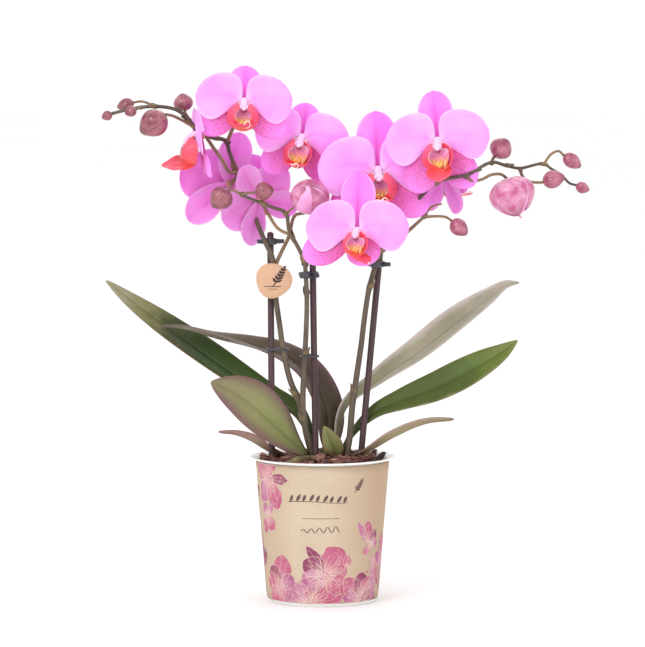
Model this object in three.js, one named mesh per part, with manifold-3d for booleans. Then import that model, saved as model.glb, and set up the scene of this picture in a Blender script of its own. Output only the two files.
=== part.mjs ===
// A moth orchid (Phalaenopsis) in a printed pot: three flower spikes tied to stakes, nine open
// flowers, fourteen buds and eight leaves. Millimetres, +Z up, the plant's front towards -Y. The
// origin is the centre of the pot's underside.
import * as THREE from "three";
import { mergeVertices } from "three/addons/utils/BufferGeometryUtils.js";
import Module from "manifold-3d";

const wasm = await Module();
wasm.setup();

// ---- Driving dimensions ----

const CLEARANCE = 0.4; // left between pieces that touch or grow past each other
const SLIVER = 0.02; // a join or a cut leaves no triangle thinner than this
const POT = {
  height: 108,
  footRadius: 40,
  wallTopRadius: 48.8,
  wallTop: 105.6,
  lipRadius: 54,
  wall: 1.3,
  base: 2.6,
  drainHoles: 6,
  drainRadius: 3,
  drainCircle: 25,
};
const SLEEVE = { bottom: 2.5, top: 105, card: 0.6 };
const BED = { edgeTop: 101, crownTop: 108 };
const STAKE_RADIUS = 2.4;
const TEPAL_THICKNESS = 1.1;
const LEAF_THICKNESS = 1.8;
const BACK_KNOB = { radius: 3.6, depth: -1.6 }; // behind a flower of size 1, where its stalk ends

const COLOURS = {
  pot: 0xf2f0ea,
  sleeve: 0xdcc8ac,
  bark: 0x6b4235,
  root: 0x8a8560,
  crown: 0x7d8a45,
  leaf: 0x5d7a35,
  stake: 0x4a3536,
  clip: 0x3a3740,
  tag: 0xefc29c,
  spike: 0x6a5f45,
  petal: 0xf39bf0,
  lip: 0xe65a68,
  bud: 0xa85a6c,
};

// ---- Placement tables ----

// Each stake is a straight rod from its foot in the bark to its top.
const STAKES = {
  left: { foot: [-37.0, -7.5, 36], top: [-38.6, -2.8, 274] },
  middle: { foot: [-3.6, -14, 10], top: [-7.4, -3.6, 262] },
  right: { foot: [19.4, -5, 10], top: [42.9, 1.6, 262] },
};

// A branch is a route with the radius at its start and end; one that carries a flower or a bud
// runs on to it. The first branch of a spike is its axis.
const SPIKES = {
  left: [
    {
      from: 2.4,
      to: 1.2,
      carries: "left_1",
      route: [
        [-7, 1, 106], [-12, -2, 124], [-16, -4, 145], [-24, -5, 165], [-29, -6, 187], [-32, -7, 208],
        [-34.5, -8.5, 226], [-35.6, -8.8, 242], [-37, -9, 256], [-42.5, -7.5, 268], [-48, 6, 280],
        [-54, 20, 296], [-61, 22, 311], [-65, 19, 321], [-69, 13, 333], [-72, 7, 342], [-83, 1, 345],
        [-93, -5, 350], [-99, -9, 359], [-108, -13, 366], [-122, -15, 368.5], [-136, -15, 367.5],
        [-146, -15, 365.5],
      ],
    },
    { from: 1.5, to: 1.3, carries: "left_top", route: [[-71, 9, 340], [-67, -3, 350], [-61, -16, 363]] },
    {
      from: 1.4,
      to: 1.3,
      carries: "left_side",
      route: [[-64, 19.5, 318], [-69, 10, 318.5], [-75, 0, 329], [-81, -5, 338]],
    },
    { from: 1.5, to: 1.4, carries: "left_back", route: [[-62.5, 21, 314], [-65, 20, 312.5]] },
    { from: 1.3, to: 1.0, carries: "left_4", route: [[-95, -6.5, 353], [-105, -13, 359], [-111, -19, 362]] },
    { from: 1.2, to: 1.1, carries: "left_5", route: [[-100, -9.5, 360.5], [-101, -8, 362.5]] },
    {
      from: 1.0,
      to: 0.9,
      carries: "left_3",
      route: [[-124, -15, 368.5], [-129, -13, 371], [-134, -11.5, 372]],
    },
    { from: 0.9, to: 0.8, carries: "left_2", route: [[-133, -15, 367.8], [-135, -18, 367.2]] },
    {
      from: 1.5,
      to: 1.1,
      carries: "middle_3",
      route: [[-35.2, -8.5, 250], [-30, -4, 261], [-25, 0, 271], [-20.5, -4, 287], [-12, -9, 290]],
    },
  ],
  middle: [
    {
      from: 2.5,
      to: 1.1,
      route: [
        [-6, -5, 106], [-12, -10, 126], [-14.5, -11, 145], [-13.7, -11, 173], [-12.2, -10.5, 201],
        [-11.6, -10.5, 224], [-12.4, -10, 244], [-13.5, -9, 254], [-18, -10, 264], [-24.5, -12, 276],
        [-27.3, -13, 290], [-36, -13, 293.5], [-46, -14, 297.5], [-61, -14, 303.5],
      ],
    },
    {
      from: 2.1,
      to: 1.4,
      route: [[-13, -9.3, 251], [-8, 3, 264], [-2, 13, 282], [3, 16, 300], [5, 15, 317], [1, 11, 334]],
    },
    { from: 1.4, to: 1.3, carries: "middle_top", route: [[2, 12, 330], [-4, 8, 338], [-11, 2, 343]] },
    { from: 1.5, to: 1.3, carries: "middle_front", route: [[3, 16, 303], [14, 12, 312], [30, -6, 320]] },
    { from: 1.5, to: 1.3, carries: "middle_low", route: [[-5, 8, 272], [4, -8, 276], [16, -30, 278]] },
    { from: 1.2, to: 1.2, carries: "middle_back", route: [[-23, -11.5, 273], [-33, -8, 278], [-40, -3, 288]] },
    { from: 1.1, to: 0.9, carries: "middle_1", route: [[-59.5, -14, 303], [-65, -15, 306.5]] },
    { from: 1.1, to: 1.0, carries: "middle_2", route: [[-60, -14, 303.2], [-56, -15.5, 304.5]] },
    { from: 1.1, to: 0.7, route: [[-27, -12.8, 289], [-23, -15, 292.5], [-20, -17, 295]] },
  ],
  right: [
    {
      from: 2.5,
      to: 0.9,
      carries: "right_5",
      route: [
        [17, -3, 106], [20, -4, 121], [22, -5, 144], [25, -5.5, 166], [28.5, -6, 190], [31.3, -6.5, 213],
        [34.5, -6.5, 233], [39.5, -6, 251], [45, -5, 264], [53, -5, 278], [62, -11, 290], [71, -21, 301],
        [80, -34, 311], [87, -43, 316], [98, -47, 318.5], [106, -45, 320], [124, -35, 328.5],
        [134, -29, 326], [145, -24, 323.5], [163, -19, 326.5], [168, -18, 323], [176, -15, 318],
        [182, -17, 312],
      ],
    },
    { from: 1.7, to: 1.1, route: [[43.5, -5.2, 261], [52, -9, 266], [63, -13, 276], [76, -16, 288]] },
    { from: 1.1, to: 0.9, carries: "right_6", route: [[75, -16, 287], [86, -18, 287.6], [91, -19, 287]] },
    { from: 1.1, to: 0.6, route: [[74.5, -16, 286.5], [79, -15, 293], [83, -14, 295.5], [88, -13, 296.3]] },
    { from: 1.4, to: 1.3, carries: "right_top", route: [[79, -31, 309.5], [82, -22, 322], [84, -24, 338]] },
    { from: 1.4, to: 1.3, carries: "right_back", route: [[84, -39, 313.5], [79, -27, 314], [79, -12, 316]] },
    {
      from: 1.2,
      to: 1.0,
      carries: "right_2",
      route: [[105, -45, 320], [109, -43, 315.5], [116, -40, 316], [124, -37, 319.5], [131, -33, 319.5]],
    },
    { from: 1.2, to: 1.1, carries: "right_1", route: [[124, -35, 328], [125, -30, 330.5]] },
    {
      from: 1.2,
      to: 1.0,
      carries: "right_3",
      route: [[145, -24, 323.5], [147.5, -24, 317], [152.5, -23, 313.5]],
    },
    { from: 1.0, to: 0.9, carries: "right_4", route: [[163, -19, 326], [168, -17, 333], [174, -14, 335.5]] },
  ],
};

// A flower's place, its size, and the way it faces in degrees: yaw turns it towards +X, pitch
// lifts its face, roll turns it anticlockwise as its front is seen. `dorsal` scales the top
// sepal's length. `sepals` gives the angle and length of the right and left lower sepals. `lip`
// scales the lip, `droop` is how far its middle lobe hangs below the facing direction, `swing`
// how far that lobe is turned to the flower's right as its front is seen, and `twist` how far its
// right edge is raised by a turn round its own length.
const FLOWERS = [
  {
    name: "left_top", at: [-57.8, -33, 371.6], size: 0.95, yaw: 3, pitch: 4, roll: -4,
    dorsal: 0.77, sepals: [[-33, 1], [215, 1]], lip: 1, droop: 0,
  },
  {
    name: "left_side", at: [-91, -5, 346], size: 0.92, yaw: -84, pitch: -4, roll: 0,
    dorsal: 0.6, sepals: [[-50, 1], [228, 1]], lip: 1.14, droop: 5, twist: -30,
  },
  {
    name: "left_back", at: [-70, 27, 309], size: 1.05, yaw: -160, pitch: 8, roll: 8,
    dorsal: 1, sepals: [[-46, 1], [226, 1]], lip: 1, droop: 15,
  },
  {
    name: "middle_top", at: [-15.5, -9, 344], size: 0.94, yaw: -8, pitch: 0, roll: -8,
    dorsal: 0.75, sepals: [[-48, 1], [226, 1]], lip: 1.05, droop: 4,
  },
  {
    name: "middle_front", at: [40.8, -25, 320.5], size: 1.18, yaw: 2, pitch: 0, roll: 2,
    dorsal: 1, sepals: [[-42, 1], [226, 1]], lip: 0.92, droop: 4,
  },
  {
    name: "middle_low", at: [25.5, -53, 278.5], size: 1.02, yaw: -12, pitch: 6, roll: 1,
    dorsal: 1.15, sepals: [[-74, 0.62], [204, 1.12]], lip: 0.84, droop: 30, swing: 42,
  },
  {
    name: "middle_back", at: [-48, 8, 298], size: 0.86, yaw: -148, pitch: 12, roll: -36,
    dorsal: 1, sepals: [[-46, 1], [226, 1]], lip: 1, droop: 15,
  },
  {
    name: "right_top", at: [84.5, -42, 343], size: 1.02, yaw: -6, pitch: 5, roll: 6,
    dorsal: 1, sepals: [[-56, 1], [236, 1]], lip: 1, droop: 32,
  },
  {
    name: "right_back", at: [90.5, 1, 316], size: 0.85, yaw: 124, pitch: 5, roll: 0,
    dorsal: 0.8, sepals: [[-46, 1], [226, 1]], lip: 1, droop: 5,
  },
];

// A bud lies from its stalk to its tip, with the greatest width between them.
const BUDS = [
  { name: "left_1", stalk: [-155, -14, 363.2], tip: [-162.5, -14, 359.8], width: 7.4 },
  { name: "left_2", stalk: [-137, -21.6, 366.8], tip: [-145, -25, 363.5], width: 8.4 },
  { name: "left_3", stalk: [-139, -10.4, 371.2], tip: [-151.5, -9, 367.5], width: 9.6 },
  { name: "left_4", stalk: [-115.5, -21.3, 363], tip: [-133.5, -27, 350], width: 20.5 },
  { name: "left_5", stalk: [-101.7, -5.3, 364.6], tip: [-103.5, -2, 377.5], width: 14.6 },
  { name: "middle_1", stalk: [-69.4, -15, 307], tip: [-81, -20, 294.5], width: 17.5 },
  { name: "middle_2", stalk: [-49.4, -16, 305], tip: [-36, -20, 307.5], width: 13.6 },
  { name: "middle_3", stalk: [-9.5, -13, 295.2], tip: [-9, -38, 311], width: 29, swell: 1.1 },
  { name: "right_1", stalk: [126.6, -22.8, 332], tip: [136, -28, 344.5], width: 16.8 },
  { name: "right_2", stalk: [135.5, -29.8, 316.4], tip: [144.5, -38, 289.5], width: 34, swell: 1.1 },
  { name: "right_3", stalk: [162, -22.5, 312.8], tip: [178, -25, 317.5], width: 13.4 },
  { name: "right_4", stalk: [177.8, -12.9, 332.4], tip: [190.5, -11, 323.5], width: 11 },
  { name: "right_5", stalk: [186.6, -20.2, 310.8], tip: [196.5, -21, 307], width: 8.6 },
  { name: "right_6", stalk: [95, -19.6, 284.6], tip: [106.5, -22, 274.5], width: 12.6 },
];

// A leaf's route runs from its base to its tip. The upper side faces `face` at the base and
// `faceTip` at the tip; `widest` is where along the leaf its full width comes.
const LEAVES = [
  {
    name: "left_long", width: 25, widest: 0.55, fold: 0.18,
    face: [0.5, -0.6, 0.6], faceTip: [0.2, -0.8, 0.7],
    route: [
      [-4, 7, 112], [-19, 11, 140], [-39, 16, 150], [-62, 22, 163], [-92, 30, 183],
      [-122, 36, 204], [-145, 40, 221], [-162, 43, 235],
    ],
  },
  {
    name: "left_arched", width: 27, widest: 0.3, fold: 0.2,
    face: [0.6, -0.75, 0.2], faceTip: [0.0, 0.15, 1],
    route: [
      [4, 9, 111], [2, 15, 143], [-11, 21, 167], [-28, 24, 179], [-54, 23, 188], [-80, 20, 195],
      [-102, 17, 202], [-121, 14, 204],
    ],
  },
  {
    name: "right_long", width: 25, widest: 0.6, fold: 0.18,
    face: [-0.7, 0.5, 0.5], faceTip: [-0.1, 0.85, 0.5],
    route: [
      [9, 8, 112], [17, 13, 143], [43, 20, 164], [73, 26, 184], [103, 32, 207], [125, 36, 223],
      [137, 38, 232], [147, 38, 234],
    ],
  },
  {
    name: "right_wide", width: 26, widest: 0.66, fold: 0.16,
    face: [-0.4, -0.7, 0.6], faceTip: [-0.1, -0.8, 0.6],
    route: [
      [14, 3, 111], [24, 5, 126], [40, 6, 140], [60, 8, 148], [87, 9, 158], [116, 10, 173],
      [134, 10, 184], [145, 10, 193],
    ],
  },
  {
    name: "right_small", width: 15, widest: 0.6, fold: 0.2,
    face: [-0.2, 0.3, 0.9], faceTip: [0.0, 0.2, 1],
    route: [
      [22, -2, 108], [34, -7, 113], [54, -13, 125], [76, -19, 135], [97, -23, 138],
    ],
  },
  {
    name: "left_broad", width: 39, widest: 0.6, fold: 0.1,
    face: [0.4, -0.7, 0.5], faceTip: [0.2, -0.85, 0.6],
    route: [
      [-10, -4, 107], [-24, -14, 121], [-41, -21, 138], [-60, -25, 154], [-82, -27, 166],
    ],
  },
  {
    name: "left_small", width: 14, widest: 0.55, fold: 0.2,
    face: [0.2, 0.3, 0.9], faceTip: [0.1, 0.2, 1],
    route: [
      [-24, 2, 106], [-41, 0, 113], [-54, -3, 121], [-65, -6, 125.5], [-77, -8, 127],
    ],
  },
  {
    name: "centre_small", width: 13, widest: 0.4, fold: 0.25,
    face: [0.1, -0.9, 0.3], faceTip: [0.1, -0.9, 0.3],
    route: [
      [9, -7, 108], [8, -9, 114], [5, -10, 122], [1, -10, 131],
    ],
  },
];

const ROOTS = [
  { radius: 2.4, route: [[2, -8, 104], [-8, -20, 108], [-18, -27, 108], [-28, -30, 104], [-33, -31, 100]] },
  { radius: 2.2, route: [[14, 4, 104], [24, 12, 108.5], [33, 20, 107.5], [38, 25, 102]] },
];

// Chunks of bark proud of the bed: centre, size and turn about the vertical in degrees.
const BARK_CHUNKS = [
  { at: [12, -27, 105.5], size: [16, 9, 6], turn: 12 },
  { at: [24, -34, 104], size: [13, 8, 6], turn: -20 },
  { at: [-12, -38, 103], size: [15, 8, 5], turn: 8 },
  { at: [40, -16, 106], size: [9, 6, 13], turn: 30 },
  { at: [-42, 6, 105.5], size: [10, 13, 6], turn: 15 },
  { at: [2, 34, 104], size: [18, 9, 6], turn: -12 },
  { at: [-24, 28, 104], size: [13, 9, 7], turn: 40 },
  { at: [22, 26, 104], size: [14, 10, 6], turn: 65 },
  { at: [36, 4, 104], size: [12, 9, 6], turn: -35 },
  { at: [-34, -22, 103], size: [12, 9, 6], turn: -50 },
  { at: [-10, 16, 107], size: [14, 9, 6], turn: 20 },
];

// Each clip is a closed band round a stake and the spike beside it, at this height.
const CLIPS = [
  { name: "left_upper", stake: "left", height: 268, spikeAt: [-38.2, -4.6], slim: false },
  { name: "left_lower", stake: "left", height: 188, spikeAt: [-29.1, -6], slim: true },
  { name: "middle_upper", stake: "middle", height: 243.4, spikeAt: [-12.7, -9.8], slim: false },
  { name: "middle_lower", stake: "middle", height: 183, spikeAt: [-13.2, -10.8], slim: true },
  { name: "right_upper", stake: "right", height: 251, spikeAt: [39.6, -6], slim: false },
];

// The finger tabs on the two flat sides of the larger clips.
const CLIP_TAB = { length: 6.4, thickness: 1.8, height: 3.4 };

const TAG = { centre: [-35.8, -13.6, 239], width: 26.5, height: 26, thickness: 0.8 };

// ---- Building blocks ----

const vec = (p) => new THREE.Vector3(...p);
const mix = THREE.MathUtils.lerp;
const radians = THREE.MathUtils.degToRad;

// The closed solid of a geometry, with its shared vertices merged.
function solidOf(geometry) {
  const bare = new THREE.BufferGeometry().setAttribute("position", geometry.getAttribute("position").clone());
  if (geometry.index) bare.setIndex(geometry.index.clone());
  const merged = mergeVertices(bare, 1e-3);
  const mesh = { numProp: 3, vertProperties: merged.attributes.position.array, triVerts: merged.index.array };
  mesh.triVerts = new Uint32Array(mesh.triVerts);
  return new wasm.Manifold(new wasm.Mesh(mesh));
}

function geometryOf(solid) {
  const mesh = solid.getMesh();
  const geometry = new THREE.BufferGeometry();
  geometry.setAttribute("position", new THREE.BufferAttribute(Float32Array.from(mesh.vertProperties), 3));
  geometry.setIndex(new THREE.BufferAttribute(Uint32Array.from(mesh.triVerts), 1));
  return geometry;
}

function joined(...geometries) {
  return geometryOf(geometries.map(solidOf).reduce((whole, next) => whole.add(next)).simplify(SLIVER));
}

// A copy of a closed geometry with its surface moved outwards.
function grown(geometry, by) {
  const bare = new THREE.BufferGeometry().setAttribute("position", geometry.getAttribute("position").clone());
  if (geometry.index) bare.setIndex(geometry.index.clone());
  const merged = mergeVertices(bare, 1e-3);
  merged.computeVertexNormals();
  const { position, normal } = merged.attributes;
  for (let i = 0; i < position.count; i++) {
    position.setXYZ(
      i,
      position.getX(i) + normal.getX(i) * by,
      position.getY(i) + normal.getY(i) * by,
      position.getZ(i) + normal.getZ(i) * by,
    );
  }
  return merged;
}

// A closed body made by moving the points of a sphere. `put(along, across, through)` gives each
// point's place: along runs from 0 to 1, across and through run round each ring.
function moulded(around, rings, put) {
  const geometry = new THREE.SphereGeometry(1, around, rings);
  const position = geometry.getAttribute("position");
  for (let i = 0; i < position.count; i++) {
    const [x, y, z] = [position.getX(i), position.getY(i), position.getZ(i)];
    const ring = Math.hypot(x, z);
    const onAxis = ring < 1e-6;
    position.setXYZ(i, ...put((1 + y) / 2, onAxis ? 0 : x / ring, onAxis ? 0 : z / ring).toArray());
  }
  return geometry;
}

// How wide a leaf or petal is along its length, as a share of its full width.
function outline(along, widest, fullness) {
  const bias = Math.log(0.5) / Math.log(widest);
  return Math.sin(Math.PI * along ** bias) ** fullness;
}

// A tapering stem along a route, round, with flat ends.
function stem(route, from, to, sides, steps) {
  const curve = new THREE.CatmullRomCurve3(route.map(vec), false, "centripetal");
  const frames = curve.computeFrenetFrames(steps, false);
  const geometry = new THREE.CylinderGeometry(1, 1, 1, sides, steps);
  const position = geometry.getAttribute("position");
  for (let i = 0; i < position.count; i++) {
    const along = position.getY(i) + 0.5;
    const step = Math.round(along * steps);
    const radius = mix(from, to, along);
    const place = curve
      .getPointAt(along)
      .addScaledVector(frames.normals[step], position.getZ(i) * radius)
      .addScaledVector(frames.binormals[step], position.getX(i) * radius);
    position.setXYZ(i, ...place.toArray());
  }
  return geometry;
}

function piece(parent, name, geometry, colour, roughness) {
  const material = new THREE.MeshStandardMaterial({ color: colour, roughness, metalness: 0 });
  const mesh = new THREE.Mesh(geometry, material);
  mesh.name = name;
  parent.add(mesh);
  return mesh;
}

// ---- Pot, sleeve and bark ----

const wallRadius = (height) => mix(POT.footRadius, POT.wallTopRadius, height / POT.wallTop);

function turned(profile, segments) {
  const geometry = new THREE.LatheGeometry(profile.map(([r, z]) => new THREE.Vector2(r, z)), segments);
  return geometry.rotateX(Math.PI / 2);
}

function potShell() {
  const inner = (height) => wallRadius(height) - POT.wall;
  const shell = turned(
    [
      [0, 0],
      [POT.footRadius - 1, 0],
      [POT.footRadius, 1],
      [POT.wallTopRadius, POT.wallTop],
      [POT.lipRadius - 0.6, POT.height - 1.6],
      [POT.lipRadius, POT.height - 0.8],
      [POT.lipRadius - 0.6, POT.height],
      [POT.wallTopRadius - POT.wall, POT.wallTop + 1.4],
      [inner(POT.base), POT.base],
      [0, POT.base],
    ],
    28,
  );
  let solid = solidOf(shell);
  for (let i = 0; i < POT.drainHoles; i++) {
    const turn = (2 * Math.PI * i) / POT.drainHoles;
    const hole = new THREE.CylinderGeometry(POT.drainRadius, POT.drainRadius, 3 * POT.base, 8);
    hole.rotateX(Math.PI / 2);
    hole.translate(POT.drainCircle * Math.cos(turn), POT.drainCircle * Math.sin(turn), POT.base / 2);
    solid = solid.subtract(solidOf(hole));
  }
  return geometryOf(solid);
}

function sleeve() {
  const { bottom, top, card } = SLEEVE;
  const inner = (height) => wallRadius(height) + CLEARANCE;
  return turned(
    [
      [inner(bottom), bottom],
      [inner(bottom) + card, bottom],
      [inner(top) + card, top],
      [inner(top), top],
      [inner(bottom), bottom],
    ],
    28,
  );
}

function barkBed() {
  const inner = (height) => wallRadius(height) - POT.wall - CLEARANCE;
  const floor = POT.base + CLEARANCE;
  const bed = turned(
    [
      [0, floor],
      [inner(floor), floor],
      [inner(BED.edgeTop) - 0.5, BED.edgeTop],
      [30, mix(BED.edgeTop, BED.crownTop, 0.5)],
      [12, BED.crownTop],
      [0, BED.crownTop],
    ],
    24,
  );
  const chunks = BARK_CHUNKS.map(({ at, size, turn }) => {
    const chunk = new THREE.DodecahedronGeometry(0.62, 0);
    return chunk.scale(...size).rotateZ(radians(turn)).translate(...at);
  });
  return joined(bed, ...chunks);
}

// ---- Stakes, clips and tag ----

function stakeAt(stake, height) {
  const [foot, top] = [vec(stake.foot), vec(stake.top)];
  return foot.lerp(top, (height - foot.z) / (top.z - foot.z));
}

function stakeRod({ foot, top }) {
  return stem([foot, vec(foot).lerp(vec(top), 0.5).toArray(), top], STAKE_RADIUS, STAKE_RADIUS, 8, 2);
}

// A band with round ends that goes round two rods side by side.
function clipBand(reach, radius, band, depth) {
  const loop = (half, r) => {
    const shape = new THREE.Shape();
    shape.absarc(half, 0, r, -Math.PI / 2, Math.PI / 2, false);
    shape.absarc(-half, 0, r, Math.PI / 2, (3 * Math.PI) / 2, false);
    shape.closePath();
    return shape;
  };
  const shape = loop(reach / 2, radius + band);
  shape.holes.push(loop(reach / 2, radius));
  const geometry = new THREE.ExtrudeGeometry(shape, { depth, bevelEnabled: false, curveSegments: 5 });
  return geometry.translate(0, 0, -depth / 2);
}

function clip({ stake, height, spikeAt, slim }) {
  const rod = stakeAt(STAKES[stake], height);
  const spike = new THREE.Vector3(...spikeAt, height);
  const reach = rod.distanceTo(spike);
  const [band, depth] = slim ? [1.1, 1.6] : [1.2, 4.4];
  const inside = STAKE_RADIUS + CLEARANCE + 0.1;
  let geometry = clipBand(reach, inside, band, depth);
  if (!slim) {
    const outside = inside + band + CLIP_TAB.length / 2 - 0.3;
    const tabs = [-1, 1].map((side) => {
      const tab = new THREE.BoxGeometry(CLIP_TAB.thickness, CLIP_TAB.length, CLIP_TAB.height);
      return tab.translate(0, side * outside, 0);
    });
    geometry = joined(geometry, ...tabs);
  }
  const mesh = new THREE.Mesh(geometry);
  mesh.position.copy(rod).lerp(spike, 0.5);
  mesh.rotation.z = Math.atan2(spike.y - rod.y, spike.x - rod.x);
  return mesh;
}

// An egg-shaped card, its narrow end down and to the left.
function tag() {
  const { width, height, thickness, centre } = TAG;
  const egg = new THREE.Shape();
  const corners = 28;
  for (let i = 0; i <= corners; i++) {
    const turn = (2 * Math.PI * i) / corners;
    const lean = 1 + 0.14 * Math.cos(turn - radians(35));
    const x = (width / 2) * Math.cos(turn) * lean - 1;
    const y = (height / 2) * Math.sin(turn) * (1 - 0.05 * Math.sin(3 * turn));
    if (i === 0) egg.moveTo(x, y);
    else egg.lineTo(x, y);
  }
  const card = new THREE.ExtrudeGeometry(egg, { depth: thickness, bevelEnabled: false });
  const mesh = new THREE.Mesh(card);
  mesh.position.set(...centre);
  mesh.rotation.x = Math.PI / 2;
  return mesh;
}

// ---- Plant ----

function crown() {
  return moulded(10, 6, (along, across, through) => {
    const radius = 8.5 * Math.sin(Math.PI * along) ** 0.6;
    return new THREE.Vector3(5 - across * radius, 1 + through * radius * 0.8, mix(88, 119, along));
  });
}

function leaf({ width, widest, fold, face, faceTip, route }) {
  const curve = new THREE.CatmullRomCurve3(route.map(vec), false, "centripetal");
  return moulded(8, 10, (along, across, through) => {
    const forward = curve.getTangentAt(along);
    const up = vec(face).lerp(vec(faceTip), along);
    up.addScaledVector(forward, -up.dot(forward)).normalize();
    const side = forward.clone().cross(up);
    const halfWidth = (width / 2) * outline(along, widest, 0.75) + 1.2 * (1 - along);
    return curve
      .getPointAt(along)
      .addScaledVector(side, across * halfWidth)
      .addScaledVector(up, Math.abs(across) * halfWidth * fold * 2 + (through * LEAF_THICKNESS) / 2);
  });
}

// The turn that makes a flower modelled facing +Z face -Y and then look the way its spec says.
function turnOf({ yaw, pitch, roll }) {
  const facing = new THREE.Euler(Math.PI / 2 - radians(pitch), 0, radians(yaw), "ZXY");
  const rolled = new THREE.Quaternion().setFromAxisAngle(new THREE.Vector3(0, 0, 1), radians(roll));
  return new THREE.Quaternion().setFromEuler(facing).multiply(rolled);
}

// Where the stalk of a flower or a bud ends: a little behind it.
function stalkEnd(name) {
  const open = FLOWERS.find((spec) => spec.name === name);
  if (open) {
    const behind = (BACK_KNOB.depth - BACK_KNOB.radius) * open.size - CLEARANCE;
    return new THREE.Vector3(0, 0, behind).applyQuaternion(turnOf(open)).add(vec(open.at)).toArray();
  }
  const { stalk, tip } = BUDS.find((spec) => spec.name === name);
  const back = vec(stalk).sub(vec(tip)).setLength(CLEARANCE);
  return vec(stalk).add(back).toArray();
}

function spike(branches) {
  const stems = branches.map(({ route, from, to, carries }, i) => {
    const whole = carries ? [...route, stalkEnd(carries)] : route;
    const [sides, steps] = i === 0 ? [6, Math.round(1.4 * whole.length)] : [5, whole.length];
    return stem(whole, from, to, sides, steps);
  });
  return joined(...stems);
}

function bud({ stalk, tip, width, swell = 1 }) {
  const [base, end] = [vec(stalk), vec(tip)];
  const axis = end.clone().sub(base);
  const geometry = moulded(8, 6, (along, across, through) => {
    const radius = (width / 2) * Math.sin(Math.PI * along ** (0.85 / swell)) ** 0.62;
    return new THREE.Vector3(across * radius, along * axis.length(), through * radius * 0.92);
  });
  const mesh = new THREE.Mesh(geometry);
  mesh.position.copy(base);
  mesh.quaternion.setFromUnitVectors(new THREE.Vector3(0, 1, 0), axis.normalize());
  return mesh;
}

// The five tepals of a flower that faces +Z with its top towards +Y. `left` and `right` are the
// half widths as seen from the front when the tepal points away from the flower's centre.
const SEPAL = { reach: 40, widest: 0.56, back: -1.4, bend: -3, cup: 0.1 };
const PETAL = { reach: 38.5, widest: 0.55, back: 0.8, bend: 1.5, cup: -0.06 };
const TEPALS = {
  dorsal: { ...SEPAL, angle: 90, reach: 38, left: 12.4, right: 12.4, bend: -2 },
  petalRight: { ...PETAL, angle: 11, left: 20.5, right: 18.5 },
  petalLeft: { ...PETAL, angle: 169, left: 18.5, right: 20.5 },
  sepalRight: { ...SEPAL, angle: -46, left: 12, right: 12.8 },
  sepalLeft: { ...SEPAL, angle: 226, left: 12.8, right: 12 },
};

function tepal({ angle, reach, left, right, widest, back, bend, cup }, size) {
  const turn = radians(angle);
  const out = new THREE.Vector3(Math.cos(turn), Math.sin(turn), 0);
  const side = new THREE.Vector3(Math.sin(turn), -Math.cos(turn), 0);
  return moulded(6, 5, (along, across, through) => {
    const half = (across > 0 ? right : left) * outline(along, widest, 0.55) * size;
    const rise = back + bend * along * along + cup * half * across * across;
    return out
      .clone()
      .multiplyScalar(along * reach * size)
      .addScaledVector(side, across * half)
      .setZ(rise * size + (through * TEPAL_THICKNESS) / 2);
  });
}

function perianth({ size, dorsal, sepals }) {
  const knob = new THREE.SphereGeometry(BACK_KNOB.radius * size, 6, 4);
  knob.translate(0, 0, BACK_KNOB.depth * size);
  const shapes = [
    { ...TEPALS.dorsal, reach: TEPALS.dorsal.reach * dorsal },
    { ...TEPALS.sepalRight, angle: sepals[0][0], reach: TEPALS.sepalRight.reach * sepals[0][1] },
    { ...TEPALS.sepalLeft, angle: sepals[1][0], reach: TEPALS.sepalLeft.reach * sepals[1][1] },
    TEPALS.petalRight,
    TEPALS.petalLeft,
  ];
  return joined(knob, ...shapes.map((shape) => tepal(shape, size)));
}

// The lip: a claw, two upright side lobes that close in to make a cup, a trowel-shaped middle lobe
// pointing forwards, and the column above them.
const CUP = { centre: -10.3, radius: 9.4, narrowing: 2.2, depth: 8.4, halfDepth: 4.8 };
const MIDDLE_LOBE = { start: -18.6, depth: 7, tuck: 2.5, reach: 22, halfWidth: 9.8 };

function lip({ size, lip: share, droop, swing = 0, twist = 0 }) {
  const scaled = (x, y, z) => new THREE.Vector3(x, y, z).multiplyScalar(size * share);
  const claw = moulded(4, 3, (along, across, through) =>
    scaled(across * 4, mix(1, -20, along), mix(4.2, 7.5, along) - through * 1.6),
  );
  const column = moulded(6, 3, (along, across, through) => {
    const radius = 3.2 * Math.sin(Math.PI * along) ** 0.4;
    return scaled(-across * radius, mix(0.5, -3, along) + through * radius * 0.8, mix(2.6, 12, along));
  });
  const lobes = [-1, 1].map((side) =>
    moulded(4, 5, (along, across, through) => {
      const turn = radians(mix(-84, 58, along));
      const half = CUP.halfDepth * outline(along, 0.55, 0.6);
      const radius = CUP.radius - across * CUP.narrowing - (side * through * TEPAL_THICKNESS) / 2;
      const height = CUP.centre + radius * Math.sin(turn);
      return scaled(side * radius * Math.cos(turn), height, CUP.depth + across * half);
    }),
  );
  const [hang, aside, lean] = [radians(droop), radians(swing), radians(twist)];
  const middle = moulded(6, 4, (along, across, through) => {
    const half = MIDDLE_LOBE.halfWidth * outline(along, 0.45, 0.7);
    const reach = mix(-MIDDLE_LOBE.tuck, MIDDLE_LOBE.reach, along);
    const forward = reach * Math.cos(hang);
    const curl = 0.12 * half * across * across - (through * TEPAL_THICKNESS) / 2;
    const sideways = across * half * Math.cos(lean) - curl * Math.sin(lean);
    const lift = across * half * Math.sin(lean) + curl * Math.cos(lean);
    return scaled(
      sideways * Math.cos(aside) + forward * Math.sin(aside),
      MIDDLE_LOBE.start - reach * Math.sin(hang) + lift,
      MIDDLE_LOBE.depth + forward * Math.cos(aside) - sideways * Math.sin(aside),
    );
  });
  return joined(claw, column, middle, ...lobes);
}

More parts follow.
